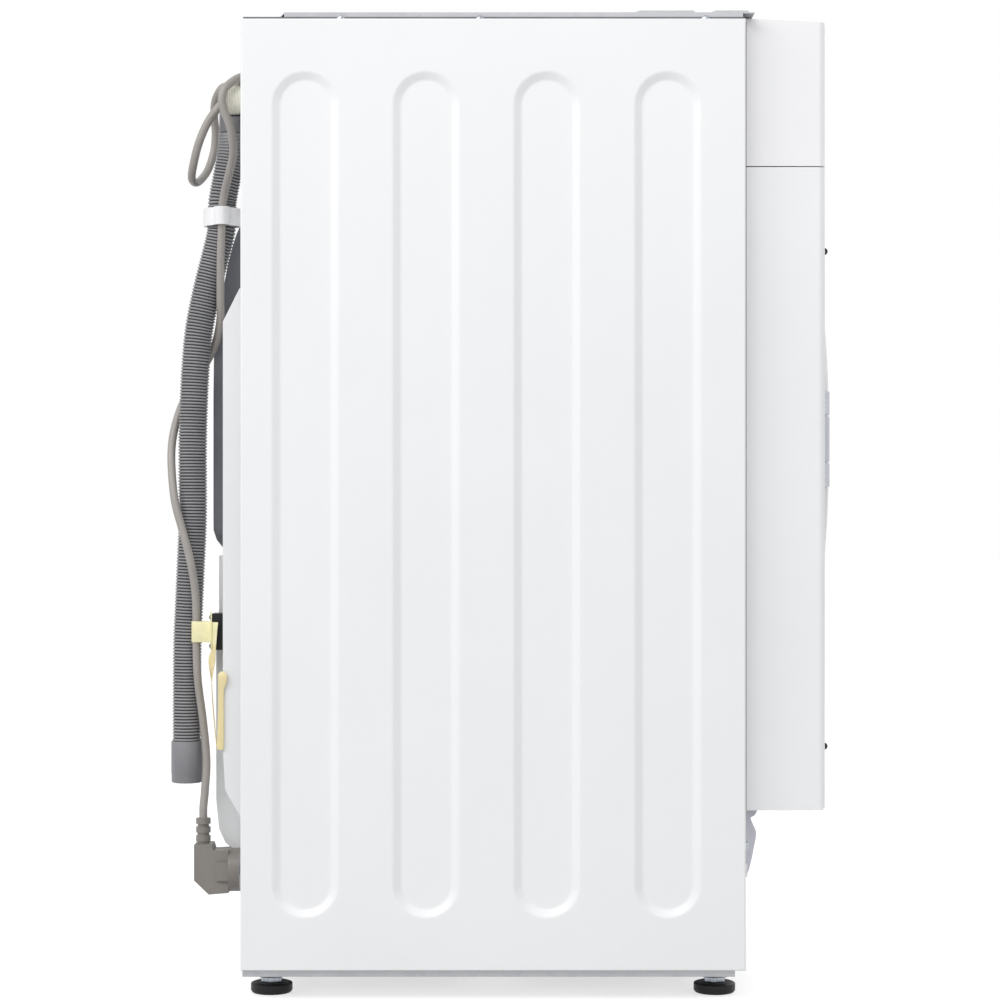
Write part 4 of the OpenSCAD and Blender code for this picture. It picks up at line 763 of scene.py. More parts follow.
class WASHER_OT_cords(bpy.types.Operator):
    """Drain hose with its cuff, and the mains lead."""

    bl_idname = "washer.cords"
    bl_label = "Hose and lead"

    def execute(self, context):
        self.lay_hose(sizes())
        self.lay_lead(sizes())
        return {"FINISHED"}

    def lay_hose(self, size):
        line = Line(route(HOSE_ROUTE, 6))
        r, end = size.hose_diameter / 2, line.total
        inner, bottom = r - size.groove, end - size.cuff
        pitch = (bottom - HOSE_TOP) / HOSE_RIBS
        lip = (0, r - 0.9 * MM)
        rings = [lip, (1 * MM, r - 0.6 * MM), (HOSE_TOP - 1.5 * MM, r - 0.6 * MM),
                 (HOSE_TOP - 0.8 * MM, r - 1.4 * MM)]
        for i in range(HOSE_RIBS):
            # The first grooves are shallow
            deep = size.groove * min(1, 0.25 + i * pitch / (45 * MM))
            rings += [(HOSE_TOP + (i + k / len(RIB_SHAPE)) * pitch, r - deep * (1 - share))
                      for k, share in enumerate(RIB_SHAPE)]
        rings += [(bottom + s * MM, inner) for s in range(0, 34, 4)] + [(end - 1.5 * MM, inner)]
        outside = len(rings)
        # The bore's wall runs back up to the first ring
        rings += [(end - 1.6 * MM, BORE_R + 0.3 * MM)]
        rings += [(end - s * 12 * MM, BORE_R) for s in range(1, int(end / (12 * MM)))]
        rings += [(1 * MM, BORE_R), (0, BORE_R + 0.2 * MM), lip]
        hose = tube_on(line, "drain_hose_ribbed", rings, HOSE_SIDES)
        # How deep each point lies in its groove, for the material, which paints shade into the grooves by that
        # depth
        depth = hose.data.attributes.new("groove", "FLOAT", "POINT")
        for i, (s, radius) in enumerate(rings):
            ribbed = HOSE_TOP - 1 * MM < s < bottom and i < outside
            deep = min(max((r - radius) / size.groove, 0), 1) if ribbed else 0.25
            for k in range(HOSE_SIDES):
                depth.data[i * HOSE_SIDES + k].value = deep
        mend(hose, 0.001 * MM)
        smooth(hose, 70)
        place(hose, "hose_plastic", "cabinet", "drain_hose")
        along = (line.points[-1] - line.place(bottom)).normalized()
        # The cuff's outside from the hose down, and its mouth, as pairs of radius and distance in mm
        outer = ((0.7, 0), (0.2, 0.25), (0, 0.8), (0, 28), (0.25, 28.4), (0.25, 34.8), (0.5, 35.6), (1.1, 36))
        mouth = ((10.6, 36), (10.2, 35.6), (10.2, 34.8))
        fit = inner + 0.05 * MM
        profile = [(fit, 0)] + [(CUFF_R - less * MM, d * MM) for less, d in outer]
        profile += [(radius * MM, d * MM) for radius, d in mouth] + [(fit, 34.6 * MM), (fit, 0)]
        cuff = turned("hose_cuff", profile, line.points[-1] - along * size.cuff, along, 48)
        smooth(cuff, 40)
        place(cuff, "hose_plastic", "cabinet", paint="cuff_rubber")

    def lay_lead(self, size):
        line = Line(route(LEAD_ROUTE, 6))
        points = [line.place(line.total * i / LEAD_STEPS) for i in range(LEAD_STEPS + 1)]
        cord = strand("power_cord_sheath", points, size.lead_diameter / 2, 6)
        place(cord, "cord_sheath", "cabinet", "power_cord")
        plug = dress("power_plug", 1.2 * MM, 3, 30)
        repaint(plug, "steel", lambda c: c.y < PLUG_PIN_Y)


def tube_on(line, name, rings, sides):
    """A tube whose rings sit at running lengths of a line; a later ring may turn back inside."""
    step = 0.5 * MM
    last = Vector((1, 0, 0))
    frames = []
    count = int(line.total / step) + 1
    for i in range(count + 1):
        s = min(i * step, line.total)
        ahead = (line.place(s + step) - line.place(s - step)).normalized()
        last = (last - ahead * last.dot(ahead)).normalized()
        frames.append((last.copy(), ahead.cross(last)))
    points = []
    for s, radius in rings:
        side, across = frames[min(int(round(s / step)), count)]
        centre = line.place(s)
        for k in range(sides):
            a = 2 * math.pi * k / sides
            points.append(centre + radius * (math.cos(a) * side + math.sin(a) * across))
    return from_faces(name, points, rows_joined(len(rings), sides))


# Cabinet

RIB_FIRST, RIB_PITCH, RIB_MARGIN = 53.5 * MM, 99.8 * MM, 44 * MM
RIB_HALF, RIB_FLOOR, RIB_DEEP = 27.5 * MM, 21 * MM, 3.5 * MM
RIB_COUNT, RIB_SIDES, BEND_STEPS = 4, 48, 4
SHEET = 1 * MM
# How far a side panel's edges turn in, all round, at the front and at the rear
TURN_ALL, TURN_FRONT, TURN_REAR = 2 * MM, 32 * MM, 16 * MM
# The top plate's sides stand this far inside the cabinet's
TOP_INSET = SHEET + 2.2 * MM


def extrude_in(distance):
    """Extrudes what is selected along X, into the cabinet."""
    bpy.ops.mesh.extrude_region_move(TRANSFORM_OT_translate={"value": (distance, 0, 0)})


def rib_rings(soft):
    """A rib's steps from the face to its floor: distance from its middle line, and depth."""
    slope = math.atan2(RIB_DEEP, RIB_HALF - RIB_FLOOR)
    reach = soft * math.tan(slope / 2)
    angles = [slope * i / BEND_STEPS for i in range(BEND_STEPS + 1)]
    rings = [(RIB_HALF + reach - soft * math.sin(a), soft * (1 - math.cos(a))) for a in angles]
    return rings + [(RIB_FLOOR - reach + soft * math.sin(a), RIB_DEEP - soft * (1 - math.cos(a)))
                    for a in reversed(angles)]


def pressed_side(name):
    """The left side panel: a flat face with four upright ribs pressed in, and its edges turned in."""
    low, high = SIDE_LOW, SIDE_HIGH
    bend = sizes().corner_bend
    z0, z1 = low.z + RIB_MARGIN + RIB_HALF, high.z - RIB_MARGIN - RIB_HALF
    rings = rib_rings(sizes().rib_bend)
    rim = rings[0][0]
    centre = Vector((-SIDE_X, (low.y + high.y) / 2, (low.z + high.z) / 2))
    span = Vector((0, high.y - low.y - 2 * bend, high.z - low.z - 2 * bend))
    facing = (0, -math.pi / 2, 0)
    piece = primitive("plane", name, size=1, location=centre, rotation=facing)
    piece.scale = (span.z, span.y, 1)
    settle(piece)
    edit(piece)
    bpy.ops.mesh.delete(type="ONLY_FACE")
    middles = [Y_REAR - RIB_FIRST - i * RIB_PITCH for i in range(RIB_COUNT)]
    for y in middles:
        edit(piece)
        bpy.ops.mesh.select_all(action="DESELECT")
        bpy.ops.mesh.primitive_circle_add(vertices=RIB_SIDES, radius=rim, location=(-SIDE_X, y, z0),
                                          rotation=facing)
        # The circle's upper half moves up to the rib's top end
        mesh = bmesh.from_edit_mesh(piece.data)
        for v in mesh.verts:
            if v.select and v.co.z < z0 - 1e-6:
                v.select_set(False)
        mesh.select_flush(False)
        bmesh.update_edit_mesh(piece.data)
        bpy.ops.transform.translate(value=(0, 0, z1 - z0))
    edit(piece)
    bpy.ops.mesh.select_mode(type="EDGE")
    bpy.ops.mesh.select_all(action="SELECT")
    bpy.ops.mesh.fill(use_beauty=True)

    def on_rim(e):
        return len(e.link_faces) == 1

    margin = 0.9 * RIB_MARGIN
    for y in middles:
        pick(piece, lambda e: on_rim(e) and all(abs(v.co.y - y) < rim + 1e-5
                                                and low.z + margin < v.co.z < high.z - margin
                                                for v in e.verts), "EDGE")
        bpy.ops.mesh.edge_face_add()
        bpy.ops.mesh.select_mode(type="FACE")
        bpy.ops.mesh.select_all(action="DESELECT")
        pick(piece, lambda f: len(f.verts) > 8 and abs(f.calc_center_median().y - y) < 1 * MM)
        for (r0, d0), (r1, d1) in zip(rings, rings[1:]):
            bpy.ops.mesh.inset(thickness=r0 - r1, depth=0)
            bpy.ops.transform.translate(value=(d1 - d0, 0, 0))
    # The outer edge: a rounded bend, then the walls that turn in
    pick(piece, on_rim, "EDGE")
    grown = span.copy()
    depth = 0.0
    for k in range(1, BEND_STEPS + 1):
        a = math.pi / 2 * k / BEND_STEPS
        new_depth, out = bend * (1 - math.cos(a)), 2 * bend * math.sin(a)
        extrude_in(new_depth - depth)
        bpy.ops.transform.resize(value=(1, (span.y + out) / grown.y, (span.z + out) / grown.z),
                                 center_override=centre)
        grown = Vector((0, span.y + out, span.z + out))
        depth = new_depth
    extrude_in(TURN_ALL)
    for turn, test in ((TURN_FRONT, lambda v: v.co.y < Y_FRONT + 1e-5),
                       (TURN_REAR, lambda v: v.co.y > Y_REAR - 1e-5)):
        pick(piece, lambda e: on_rim(e) and all(test(v) for v in e.verts), "EDGE")
        extrude_in(turn - bend - TURN_ALL)
    mend(piece, 0.02 * MM)
    apply_modifier(piece, "SOLIDIFY", thickness=SHEET, offset=-1)
    smooth(piece, 30)
    apply_modifier(piece, "WEIGHTED_NORMAL", keep_sharp=True, weight=90)
    return piece


class WASHER_OT_sides(bpy.types.Operator):
    """Side panels with pressed ribs."""

    bl_idname = "washer.sides"
    bl_label = "Side panels"

    def execute(self, context):
        left = pressed_side("side_panel_left_dressed")
        right = copied(left, "side_panel_right_dressed", Matrix.Scale(-1, 4, (1, 0, 0)))
        right.data.flip_normals()
        for piece, node in ((left, "side_panel_left"), (right, "side_panel_right")):
            place(piece, "white_enamel", "cabinet", node)
        return {"FINISHED"}


class WASHER_OT_shell(bpy.types.Operator):
    """Pressed panels of the cabinet and the front box."""

    bl_idname = "washer.shell"
    bl_label = "Cabinet shell"

    def execute(self, context):
        sheet = sizes().sheet_edge
        for node, width, segments in (
                ("rear_panel", sheet, 2), ("top_plate", sheet, 2), ("base_frame", sheet, 1),
                ("cross_rails", sheet, 1), ("front_panel", sheet, 2), ("kick_panel", sheet, 2),
                ("control_panel", sizes().moulded_edge, 3), ("rear_cover", 2 * MM, 4)):
            dress(node, width, segments)
        # Dark foam tape in the joints under the top plate and behind the front box, standing in as painted
        # shadow of the gaps there
        tape = []
        box_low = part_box("front_panel")[0].z
        strips = ((SIDE_X - TOP_INSET, 1.2 * MM, Y_FRONT + 1 * MM, Y_REAR - 2 * MM,
                   SIDE_HIGH.z - 3 * MM, SIDE_HIGH.z + 1.5 * MM),
                  (BOX_HALF, 0.35 * MM, Y_FRONT - 2.3 * MM, Y_FRONT - 0.1 * MM,
                   box_low + 0.5 * MM, SIDE_HIGH.z + 0.5 * MM))
        for side in (-1, 1):
            for edge_x, thick, y0, y1, z0, z1 in strips:
                x0, x1 = sorted((side * (edge_x + 0.02 * MM), side * (edge_x + thick)))
                tape.append(slab("tape", (x0, y0, z0), (x1, y1, z1)))
        tape = joined(tape, "foam_tape")
        apply_modifier(tape, "BEVEL", width=0.1 * MM, segments=2)
        place(tape, "black_rubber", "cabinet", paint="foam")
        return {"FINISHED"}


INLET_Z = 753.8 * MM


class WASHER_OT_rear_fittings(bpy.types.Operator):
    """Water inlet, drain elbow, hose clip, strap and lead gland."""

    bl_idname = "washer.rear_fittings"
    bl_label = "Rear fittings"

    def execute(self, context):
        edge = sizes().moulded_edge
        self.cut_thread(edge)
        dress("drain_elbow", 0.5 * MM)
        dress("strap_block", edge)
        dress("hose_clip", 0.6 * MM, slot="clip_plastic")
        dress("cord_gland", edge, slot="clip_plastic")
        place(cable_strap(), "yellow_band", "cabinet", "cord_strap")
        return {"FINISHED"}

    def cut_thread(self, edge):
        """The inlet, with its plain spout thinned to the thread's root and turns of thread round it."""
        inlet = merged_copy("inlet_valve")
        low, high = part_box("inlet_valve")
        axis = Vector(((low.x + high.x) / 2, 0, INLET_Z))
        crest, root, thread_l, start_y = 13.22 * MM, 12.3 * MM, 12.6 * MM, high.y - 12.8 * MM
        for v in inlet.data.vertices:
            across = Vector((v.co.x - axis.x, 0, v.co.z - axis.z))
            if abs(across.length - crest) < 0.05 * MM and v.co.y > start_y - 1e-5:
                v.co = axis + across * (root / across.length) + Vector((0, v.co.y, 0))
        apply_modifier(inlet, "BEVEL", width=edge * 0.5, segments=2, limit_method="ANGLE",
                       use_clamp_overlap=True)
        pitch = sizes().thread_pitch
        profile = [(root - 0.3 * MM, 0.3 * MM)]
        at = 0.6 * MM
        while at + pitch < thread_l:
            profile += [(root, at), (crest, at + 0.32 * pitch), (crest, at + 0.5 * pitch),
                        (root, at + 0.82 * pitch)]
            at += pitch
        profile += [(root - 0.3 * MM, at + 0.1 * MM)]
        thread = turned("inlet_thread", profile, (axis.x, start_y, axis.z), (0, 1, 0), 48)
        inlet = joined([inlet, thread], "inlet_valve_dressed")
        inlet.data.materials.append(finish("ivory_plastic"))
        smooth(inlet, 35)
        # The valve's body under the spout is black
        body_top, body_y = axis.z - 11.9 * MM, Y_REAR - 22.2 * MM
        repaint(inlet, "black_plastic", lambda c: c.z < body_top and c.y > body_y)
        place(inlet, "ivory_plastic", "cabinet", "inlet_valve")


def ribbon(name, rows, thick):
    """A thin flat strip. Each row is its middle and half its width as a vector."""
    points = []
    for i, (middle_at, half) in enumerate(rows):
        before, after = rows[max(i - 1, 0)][0], rows[min(i + 1, len(rows) - 1)][0]
        out = (Vector(after) - Vector(before)).cross(Vector(half)).normalized() * thick / 2
        for side, lift in ((-1, -1), (1, -1), (1, 1), (-1, 1)):
            points.append(Vector(middle_at) + Vector(half) * side + out * lift)
    ends = [(0, 1, 2, 3), tuple(4 * len(rows) - 4 + k for k in (3, 2, 1, 0))]
    piece = from_faces(name, points, rows_joined(len(rows), 4) + ends)
    mend(piece, 0.001 * MM)
    return piece


def cable_strap():
    """The yellow band round the lead, its ear on the black block, and its two hanging ends."""
    def at(x, behind, z):
        return (x * MM, Y_REAR + behind * MM, z * MM)

    # Flat along the side, round the lead and back to the ear, in mm
    lead_x, lead_y, loop_r, band_z = -207, 46.5, 4.4, 301.2
    loop = [(-212.8, 32), (-212.2, 36), (-211.6, 41)]
    for degrees in range(0, 181, 15):
        a = math.radians(degrees)
        loop.append((lead_x - loop_r * math.cos(a), lead_y + loop_r * math.sin(a)))
    loop += [(-203.2, 42), (-205.5, 38), (-209.5, 34)]
    band = ribbon("band", [(at(x, y, band_z), (0, 0, 9 * MM)) for x, y in loop], 0.7 * MM)
    rows = [(at(-213.7, 33.5, z), (5.7 * MM, 0.9 * MM, 0)) for z in (318.8, 308, 297, 286)]
    ear = ribbon("ear", rows, 0.8 * MM)
    # The first end hangs beside the block and turns edge on below it: X, distance behind, Z, and half its
    # width in X and Y
    rows = ((-221.6, 29.2, 310, 2.9, 2.7), (-221.9, 29.6, 301.4, 3.3, 2.3), (-221.9, 30, 292, 3.4, 2),
            (-221, 30.5, 286, 3.5, 1.95), (-220, 31.7, 281.7, 2.9, 2.8), (-219.2, 32.2, 278.3, 2.4, 3.2),
            (-218.7, 32.5, 274, 2.8, 2.9), (-218, 32.7, 268, 3.5, 1.9), (-217.4, 32.8, 262, 3.9, 1),
            (-217, 32.7, 257.7, 4, 0.4), (-217, 32, 243, 4, 0.2), (-217, 30.6, 226, 4, 0.2),
            (-217, 28.5, 204, 3.4, 0.3))
    tail = ribbon("tail", [(at(x, y, z), (a * MM, b * MM, 0)) for x, y, z, a, b in rows], 0.6 * MM)
    # The second end hangs at the corner of the panel's step: the same, with half its width in Y alone
    rows = ((-238.2, 21.3, 268.8, 1.8), (-239, 21.1, 266.5, 3.5), (-239.6, 21, 263, 3.9),
            (-239.4, 21.2, 259, 3.6), (-238.8, 22.1, 254.5, 2.6), (-238.4, 22.4, 250, 2.35),
            (-238.2, 22.5, 236, 2.4), (-238.2, 22.7, 220, 2.7), (-238.3, 23, 205.5, 2.9),
            (-238.6, 23, 202.5, 2.6))
    under = ribbon("under", [(at(x, y, z), (0.5 * MM, half * MM, 0)) for x, y, z, half in rows], 0.5 * MM)
    strap = joined([band, ear, tail, under], "cable_strap")
    apply_modifier(strap, "BEVEL", width=0.12 * MM, segments=2, limit_method="ANGLE")
    smooth(strap, 40)
    return strap


def screw_head(radius, height, centre, axis):
    """A pan-head screw with a cross recess, its underside at the centre point."""
    axis = Vector(axis)
    profile = [(0, 0), (radius, 0), (radius, height * 0.35)]
    profile += [(radius * math.cos(a), height * (0.35 + 0.65 * math.sin(a)))
                for a in (math.radians(d) for d in (20, 40, 60, 75))]
    profile += [(0, height)]
    head = turned("screw", profile, centre, axis, 24)
    top = Vector(centre) + axis * height
    for i in range(2):
        blade = primitive("cube", "blade", size=1)
        side = axis.orthogonal().normalized()
        side.rotate(Matrix.Rotation(math.pi / 2 * i + 0.3, 3, axis))
        across = axis.cross(side)
        basis = Matrix((side * radius * 1.15, across * radius * 0.24, axis * height * 0.9)).transposed()
        blade.data.transform(Matrix.Translation(top) @ basis.to_4x4())
        mend(blade)
        apply_modifier(head, "BOOLEAN", object=blade, operation="DIFFERENCE", solver="EXACT")
        bpy.data.objects.remove(blade)
    return head


# Where the screws sit: along the top plate, on the kick panel, on the strap block and on the front box
TOP_SCREW_Y = (Y_REAR - 83 * MM, Y_REAR - 198 * MM, Y_FRONT + 33 * MM)
KICK_SCREW_X, KICK_SCREW_Z = SIDE_X - 16 * MM, 127 * MM
BLOCK_SCREW_X, BLOCK_SCREW_Z = -204 * MM, (288.6 * MM, 313.4 * MM)
HINGE_SCREW_X, HINGE_SCREW_Z = BOX_HALF - 20 * MM, (207.5 * MM, 623.5 * MM)


class WASHER_OT_fasteners(bpy.types.Operator):
    """Screws of the top plate and kick panel, and the furniture hinges' screws."""

    bl_idname = "washer.fasteners"
    bl_label = "Screws"

    def execute(self, context):
        forward = (0, -1, 0)
        heads, dark = [], []
        for side in (-1, 1):
            for y in TOP_SCREW_Y:
                centre = (side * (SIDE_X - TOP_INSET), y, SIDE_HIGH.z - 1.2 * MM)
                heads.append(screw_head(4 * MM, 2 * MM, centre, (side, 0, 0)))
            centre = (side * KICK_SCREW_X, Y_FRONT, KICK_SCREW_Z)
            heads.append(screw_head(4.1 * MM, 4.2 * MM, centre, forward))
            for z in HINGE_SCREW_Z:
                dark.append(screw_head(3 * MM, 4.2 * MM, (side * HINGE_SCREW_X, Y_FACE, z), forward))
        for z in BLOCK_SCREW_Z:
            heads.append(screw_head(2.4 * MM, 3.4 * MM, (BLOCK_SCREW_X, BLOCK_HIGH.y, z), (0, 1, 0)))
        cabinet = joined(heads, "cabinet_screws")
        smooth(cabinet, 35)
        place(cabinet, "zinc", "cabinet", "fasteners")
        hinge_screws = joined(dark, "furniture_hinge_screws")
        smooth(hinge_screws, 35)
        place(hinge_screws, "zinc", "cabinet", paint="black_plastic")
        return {"FINISHED"}


class WASHER_OT_feet(bpy.types.Operator):
    """Levelling feet and their lock nuts."""

    bl_idname = "washer.feet"
    bl_label = "Feet"

    def execute(self, context):
        for node in ("foot_rear_left", "foot_rear_right", "foot_front_left", "foot_front_right"):
            pad_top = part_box(node)[0].z + 9.2 * MM
            repaint(dress(node, 0.6 * MM), "zinc", lambda c: c.z > pad_top)
        dress("lock_nuts", 0.4 * MM)
        return {"FINISHED"}


# Front

INK = 0.03 * MM
KEYS = ("power_button", "start_button", "option_button")
# Seven segments, by the letters that they usually have
LIT = {"1": "bc", "2": "abged", "4": "fgbc"}


class WASHER_OT_controls(bpy.types.Operator):
    """Programme dial, buttons, display, board and the printed scale."""

    bl_idname = "washer.controls"
    bl_label = "Controls"

    def execute(self, context):
        board = dress("control_board", 0.3 * MM)
        window_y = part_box("control_board")[0].y + 17 * MM
        repaint(board, "display", lambda c: c.y < window_y)
        dress("program_dial", 0.5 * MM, 3)
        low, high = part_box("program_dial")
        x, radius = (low.x + high.x) / 2, (high.x - low.x) / 2
        pointer = slab("dial_pointer", (x - 0.9 * MM, low.y - 0.05 * MM, CONTROL_Z + 12 * MM),
                       (x + 0.9 * MM, low.y + 0.7 * MM, CONTROL_Z + 22 * MM))
        apply_modifier(pointer, "BEVEL", width=0.3 * MM, segments=2)
        place(pointer, "silver_plastic", "dial", paint="ink")
        for node in KEYS:
            dress(node, sizes().moulded_edge, 3)
        marks = self.dial_scale(x, radius)
        for node in KEYS:
            marks += self.key_sign(node)
        place(joined(marks, "printed_scale"), "silver_plastic", "cabinet", paint="ink")
        self.light_display()
        return {"FINISHED"}

    def dial_scale(self, x, radius):
        """Ticks, temperatures and dots round the dial."""
        marks = []
        labels = {1: "20", 2: "30", 3: "40", 4: "60", 5: "90"}
        for i in range(12):
            a = 2 * math.pi * i / 12

            def spot(reach):
                return (x + reach * math.sin(a), Y_FACE, CONTROL_Z + reach * math.cos(a))

            long = 7 if i % 3 == 0 else 6
            tick = slab("tick", (-0.3 * MM, Y_FACE - INK, radius + 2.5 * MM),
                        (0.3 * MM, Y_FACE, radius + long * MM))
            tick.data.transform(Matrix.Translation((x, 0, CONTROL_Z)) @ Matrix.Rotation(a, 4, "Y"))
            marks.append(tick)
            if i in labels:
                marks.append(written("label", labels[i], 5 * MM, spot(radius + 10.5 * MM)))
            elif i > 6:
                marks.append(turned("dot", [(0, 0), (0.9 * MM, 0), (0.9 * MM, INK), (0, INK)],
                                    spot(radius + 9.5 * MM), (0, -1, 0), 16))
        return marks

    def key_sign(self, node):
        """The sign over a key: on and off, start and pause, or a clock."""
        low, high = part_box(node)
        x, z = (low.x + high.x) / 2, high.z + 8 * MM

        def bar(x0, z0, x1, z1):
            return slab("bar", (x + x0 * MM, Y_FACE - INK, z + z0 * MM), (x + x1 * MM, Y_FACE, z + z1 * MM))

        def ring(first, last, thick):
            steps, reach = 24, 2.3 * MM
            turns = [math.radians(first + (last - first) * k / steps) for k in range(steps + 1)]
            return wire("arc", [Vector((x + reach * math.sin(a), Y_FACE, z + reach * math.cos(a)))
                                for a in turns], thick)

        if node == "power_button":
            return [ring(40, 320, 0.28 * MM), bar(-0.28, 0.3, 0.28, 2.8)]
        if node == "option_button":
            return [ring(0, 360, 0.25 * MM), bar(-0.2, 0, 0.2, 1.6), bar(0, -0.2, 1.2, 0.2)]
        rows = [(Vector((x - 3 * MM, Y_FACE - INK, z)), (0, 0, 2 * MM)),
                (Vector((x + 0.2 * MM, Y_FACE - INK, z)), (0, 0, 0.1 * MM))]
        return [ribbon("play", rows, 0.06 * MM), bar(1.4, -2, 2.2, 2), bar(3, -2, 3.8, 2)]

    def light_display(self):
        """A running time in seven-segment digits."""
        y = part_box("control_board")[0].y - 0.05 * MM
        # In mm: the display's middle, a digit's width and half height, a bar's thickness, the gap at its ends
        middle, w, h, t, gap = 81, 7, 7, 1.3, 0.2
        # Each segment's corners, from the left end of the middle bar
        corners = {"a": (gap, h, w - gap, h + t), "g": (gap, 0, w - gap, t), "d": (gap, -h, w - gap, -h + t),
                   "f": (gap, t, t - gap, h), "e": (gap, -h + t, t - gap, 0),
                   "b": (w - t + gap, t, w - gap, h), "c": (w - t + gap, -h + t, w - gap, 0)}
        bars = [(middle + at + x0, z0, middle + at + x1, z1)
                for at, digit in ((-18, "1"), (-4, "2"), (7, "4"))
                for x0, z0, x1, z1 in (corners[key] for key in LIT[digit])]
        bars += [(middle - 7.8, z, middle - 6.5, z + t) for z in (-3.4, 3.6)]
        bars = [slab("segment", (x0 * MM, y, CONTROL_Z + z0 * MM),
                     (x1 * MM, y + 0.04 * MM, CONTROL_Z + z1 * MM)) for x0, z0, x1, z1 in bars]
        place(joined(bars, "display_digits"), "board", "cabinet", paint="segments")


class WASHER_OT_door(bpy.types.Operator):
    """Door with its bowl, hinge, latch, lock and seal."""

    bl_idname = "washer.door"
    bl_label = "Door"

    def execute(self, context):
        edge, fine = sizes().moulded_edge, 0.4 * MM
        for node, width in (("door_frame", edge), ("door_cover", edge), ("door_glass", edge), ("door_arm", edge),
                            ("door_hinge", fine), ("latch_hook", fine), ("door_lock", edge)):
            dress(node, width, 3)
        stretched(softened("door_gasket", 0.8 * MM, 3), "door_gasket")
        return {"FINISHED"}


class WASHER_OT_drawer(bpy.types.Operator):
    """Detergent drawer and the housing it runs in."""

    bl_idname = "washer.drawer"
    bl_label = "Drawer"

    def execute(self, context):
        dress("drawer_front", sizes().moulded_edge, 3)
        dress("drawer_tray", 0.5 * MM)
        dress("dispenser_housing", 0.5 * MM)
        return {"FINISHED"}


class WASHER_OT_pump(bpy.types.Operator):
    """Service flap, pump, filter and sump hose."""

    bl_idname = "washer.pump"
    bl_label = "Pump and flap"

    def execute(self, context):
        dress("filter_flap", 0.6 * MM, 3)
        dress("drain_pump", 0.7 * MM)
        dress("pump_filter", 0.5 * MM)
        stretched(softened("sump_hose", 0.6 * MM, 3), "sump_hose")
        return {"FINISHED"}


# Drum and suspension


class WASHER_OT_suspension(bpy.types.Operator):
    """Coil springs and dampers that carry the tub."""

    bl_idname = "washer.suspension"
    bl_label = "Suspension"

    def execute(self, context):
        low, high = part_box("suspension_springs")
        thick, turns = sizes().spring_wire, 24
        outer = 13 * MM
        radius, rise, count = outer - thick / 2, high.z - low.z - thick, turns * 20
        coils = []
        for side in (-1, 1):
            x, y = side * (high.x - outer), (low.y + high.y) / 2
            points = []
            for i in range(count + 1):
                t = i / count
                a = 2 * math.pi * turns * t
                # The end turns lie flat
                z = low.z + thick / 2 + rise * min(max((t * turns - 1) / (turns - 2), 0), 1)
                points.append(Vector((x + radius * math.cos(a), y + radius * math.sin(a), z)))
            coils.append(wire("coil", points, thick / 2))
        springs = joined(coils, "suspension_coils")
        smooth(springs, 60)
        stretched(springs, "suspension_springs")
        dress("damper_cylinders", 0.8 * MM)
        dress("damper_rods", 0.5 * MM)
        return {"FINISHED"}


class WASHER_OT_drum(bpy.types.Operator):
    """Tub, counterweights, drum and drive."""

    bl_idname = "washer.drum"
    bl_label = "Drum and drive"

    def execute(self, context):
        for node, width in (("tub_front", 0.8), ("tub_rear", 0.8), ("counterweights", 3), ("heater", 0.4),
                            ("motor", 0.8), ("drive_belt", 0.3), ("bearings", 0.5), ("drum", 0.3),
                            ("drum_baffles", 1.2), ("drum_spider", 1.0), ("drum_pulley", 0.5),
                            ("motor_pulley", 0.5)):
            dress(node, width * MM)
        return {"FINISHED"}


# Stage

WHITE = (1, 1, 1, 1)
LAMPS_AIM = (0, 0, 0.42)
# Key high over the side, one from the rear for the stepped panel, a weak fill, and two for the far sides:
# name, place and size in metres, power in watts
LAMPS = (("key", (-2.7, 1.3, 2.8), 1.6, 34.0), ("rear", (-1.9, 2.9, 2.1), 1.4, 30.0),
         ("fill", (-2.6, -0.6, 1.8), 1.8, 12.5), ("far", (2.6, -1.2, 1.8), 1.8, 15.0),
         ("front", (0.4, -3.0, 1.7), 1.6, 10.0))


def seen_directly(tree, strength):
    """The strength for camera, glossy and transmission rays, and nothing for the rays that give light."""
    path = add_node(tree, "LightPath")
    total = (path, "Is Camera Ray")
    for kind in ("Is Glossy Ray", "Is Transmission Ray"):
        total = (add_node(tree, "Math", links={0: total, 1: (path, kind)}, operation="MAXIMUM"), "Value")
    return add_node(tree, "Math", {1: strength}, {0: total}, operation="MULTIPLY")


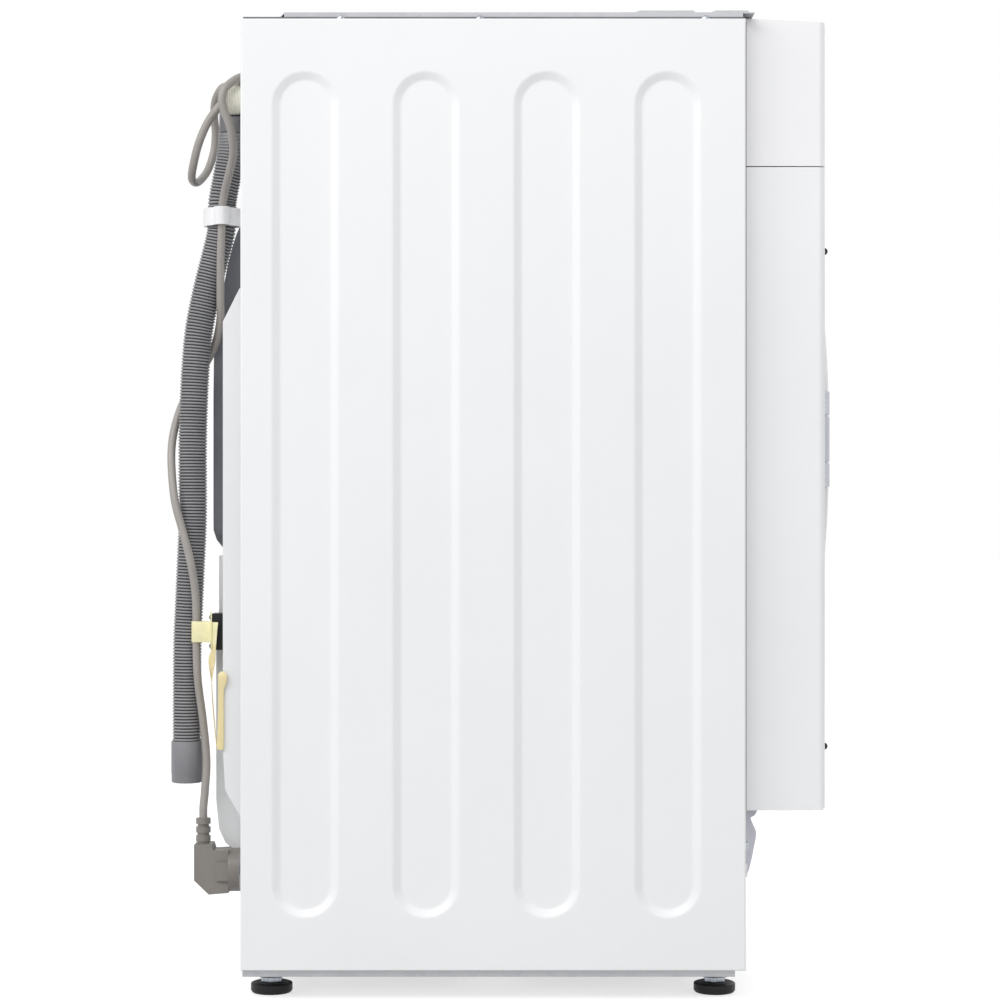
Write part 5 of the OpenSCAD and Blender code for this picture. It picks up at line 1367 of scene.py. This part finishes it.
class WASHER_OT_stage(bpy.types.Operator):
    """Pale floor, soft studio light and the world."""

    bl_idname = "washer.stage"
    bl_label = "Studio"

    def execute(self, context):
        floor = primitive("plane", "studio_floor", size=30)
        made = Surface("Studio floor", "floor", 0.8)
        tree = made.tree
        # The floor glows white for the camera and for mirror rays, and still takes the machine's shadow
        strength = seen_directly(tree, 0.66)
        glow = add_node(tree, "Emission", {"Color": WHITE}, {"Strength": (strength, "Value")})
        both = add_node(tree, "AddShader", links={0: (made.shader, "BSDF"), 1: (glow, "Emission")})
        tree.links.new(both.outputs["Shader"], tree.nodes["Material Output"].inputs["Surface"])
        floor.data.materials.append(made.material)
        world = bpy.data.worlds.new("Studio")
        context.scene.world = world
        world.use_nodes = True
        tree = world.node_tree
        tree.nodes.clear()
        white = add_node(tree, "Background", {"Color": WHITE, "Strength": 1.0})
        soft = add_node(tree, "Background", {"Color": WHITE, "Strength": 0.57})
        mix = add_node(tree, "MixShader", links={"Fac": (seen_directly(tree, 1.0), "Value"),
                                                 1: (soft, "Background"), 2: (white, "Background")})
        add_node(tree, "OutputWorld", links={"Surface": (mix, "Shader")})
        for name, place_at, size, power in LAMPS:
            data = bpy.data.lights.new(name, "AREA")
            data.size = size
            data.energy = power
            lamp = linked(name, data)
            lamp.location = place_at
            lamp.rotation_euler = (Vector(LAMPS_AIM) - lamp.location).to_track_quat("-Z", "Y").to_euler()
        return {"FINISHED"}


class WASHER_PT_panel(bpy.types.Panel):
    """Lists the steps that dress the machine."""

    bl_idname = "WASHER_PT_panel"
    bl_label = "Washer"
    bl_space_type = "VIEW_3D"
    bl_region_type = "UI"
    bl_category = "Washer"

    def draw(self, context):
        for step in STEPS:
            self.layout.operator(step.bl_idname)
        for group in (context.scene.washer_sizes, context.scene.washer_colours):
            for key in group.bl_rna.properties.keys():
                if key not in ("rna_type", "name"):
                    self.layout.prop(group, key)


STEPS = (WASHER_OT_cords, WASHER_OT_sides, WASHER_OT_shell, WASHER_OT_rear_fittings, WASHER_OT_fasteners,
         WASHER_OT_feet, WASHER_OT_controls, WASHER_OT_door, WASHER_OT_drawer, WASHER_OT_pump,
         WASHER_OT_suspension, WASHER_OT_drum, WASHER_OT_stage)
CLASSES = (WasherSizes, WasherColours) + STEPS + (WASHER_PT_panel,)


def register():
    for item in CLASSES:
        bpy.utils.register_class(item)
    bpy.types.Scene.washer_sizes = bpy.props.PointerProperty(type=WasherSizes)
    bpy.types.Scene.washer_colours = bpy.props.PointerProperty(type=WasherColours)


def unregister():
    del bpy.types.Scene.washer_sizes
    del bpy.types.Scene.washer_colours
    for item in reversed(CLASSES):
        bpy.utils.unregister_class(item)


def main():
    register()
    bpy.context.scene.view_settings.view_transform = "Standard"
    aim_camera()
    for step in STEPS:
        group, name = step.bl_idname.split(".")
        getattr(getattr(bpy.ops, group), name)()


if __name__ == "__main__":
    main()
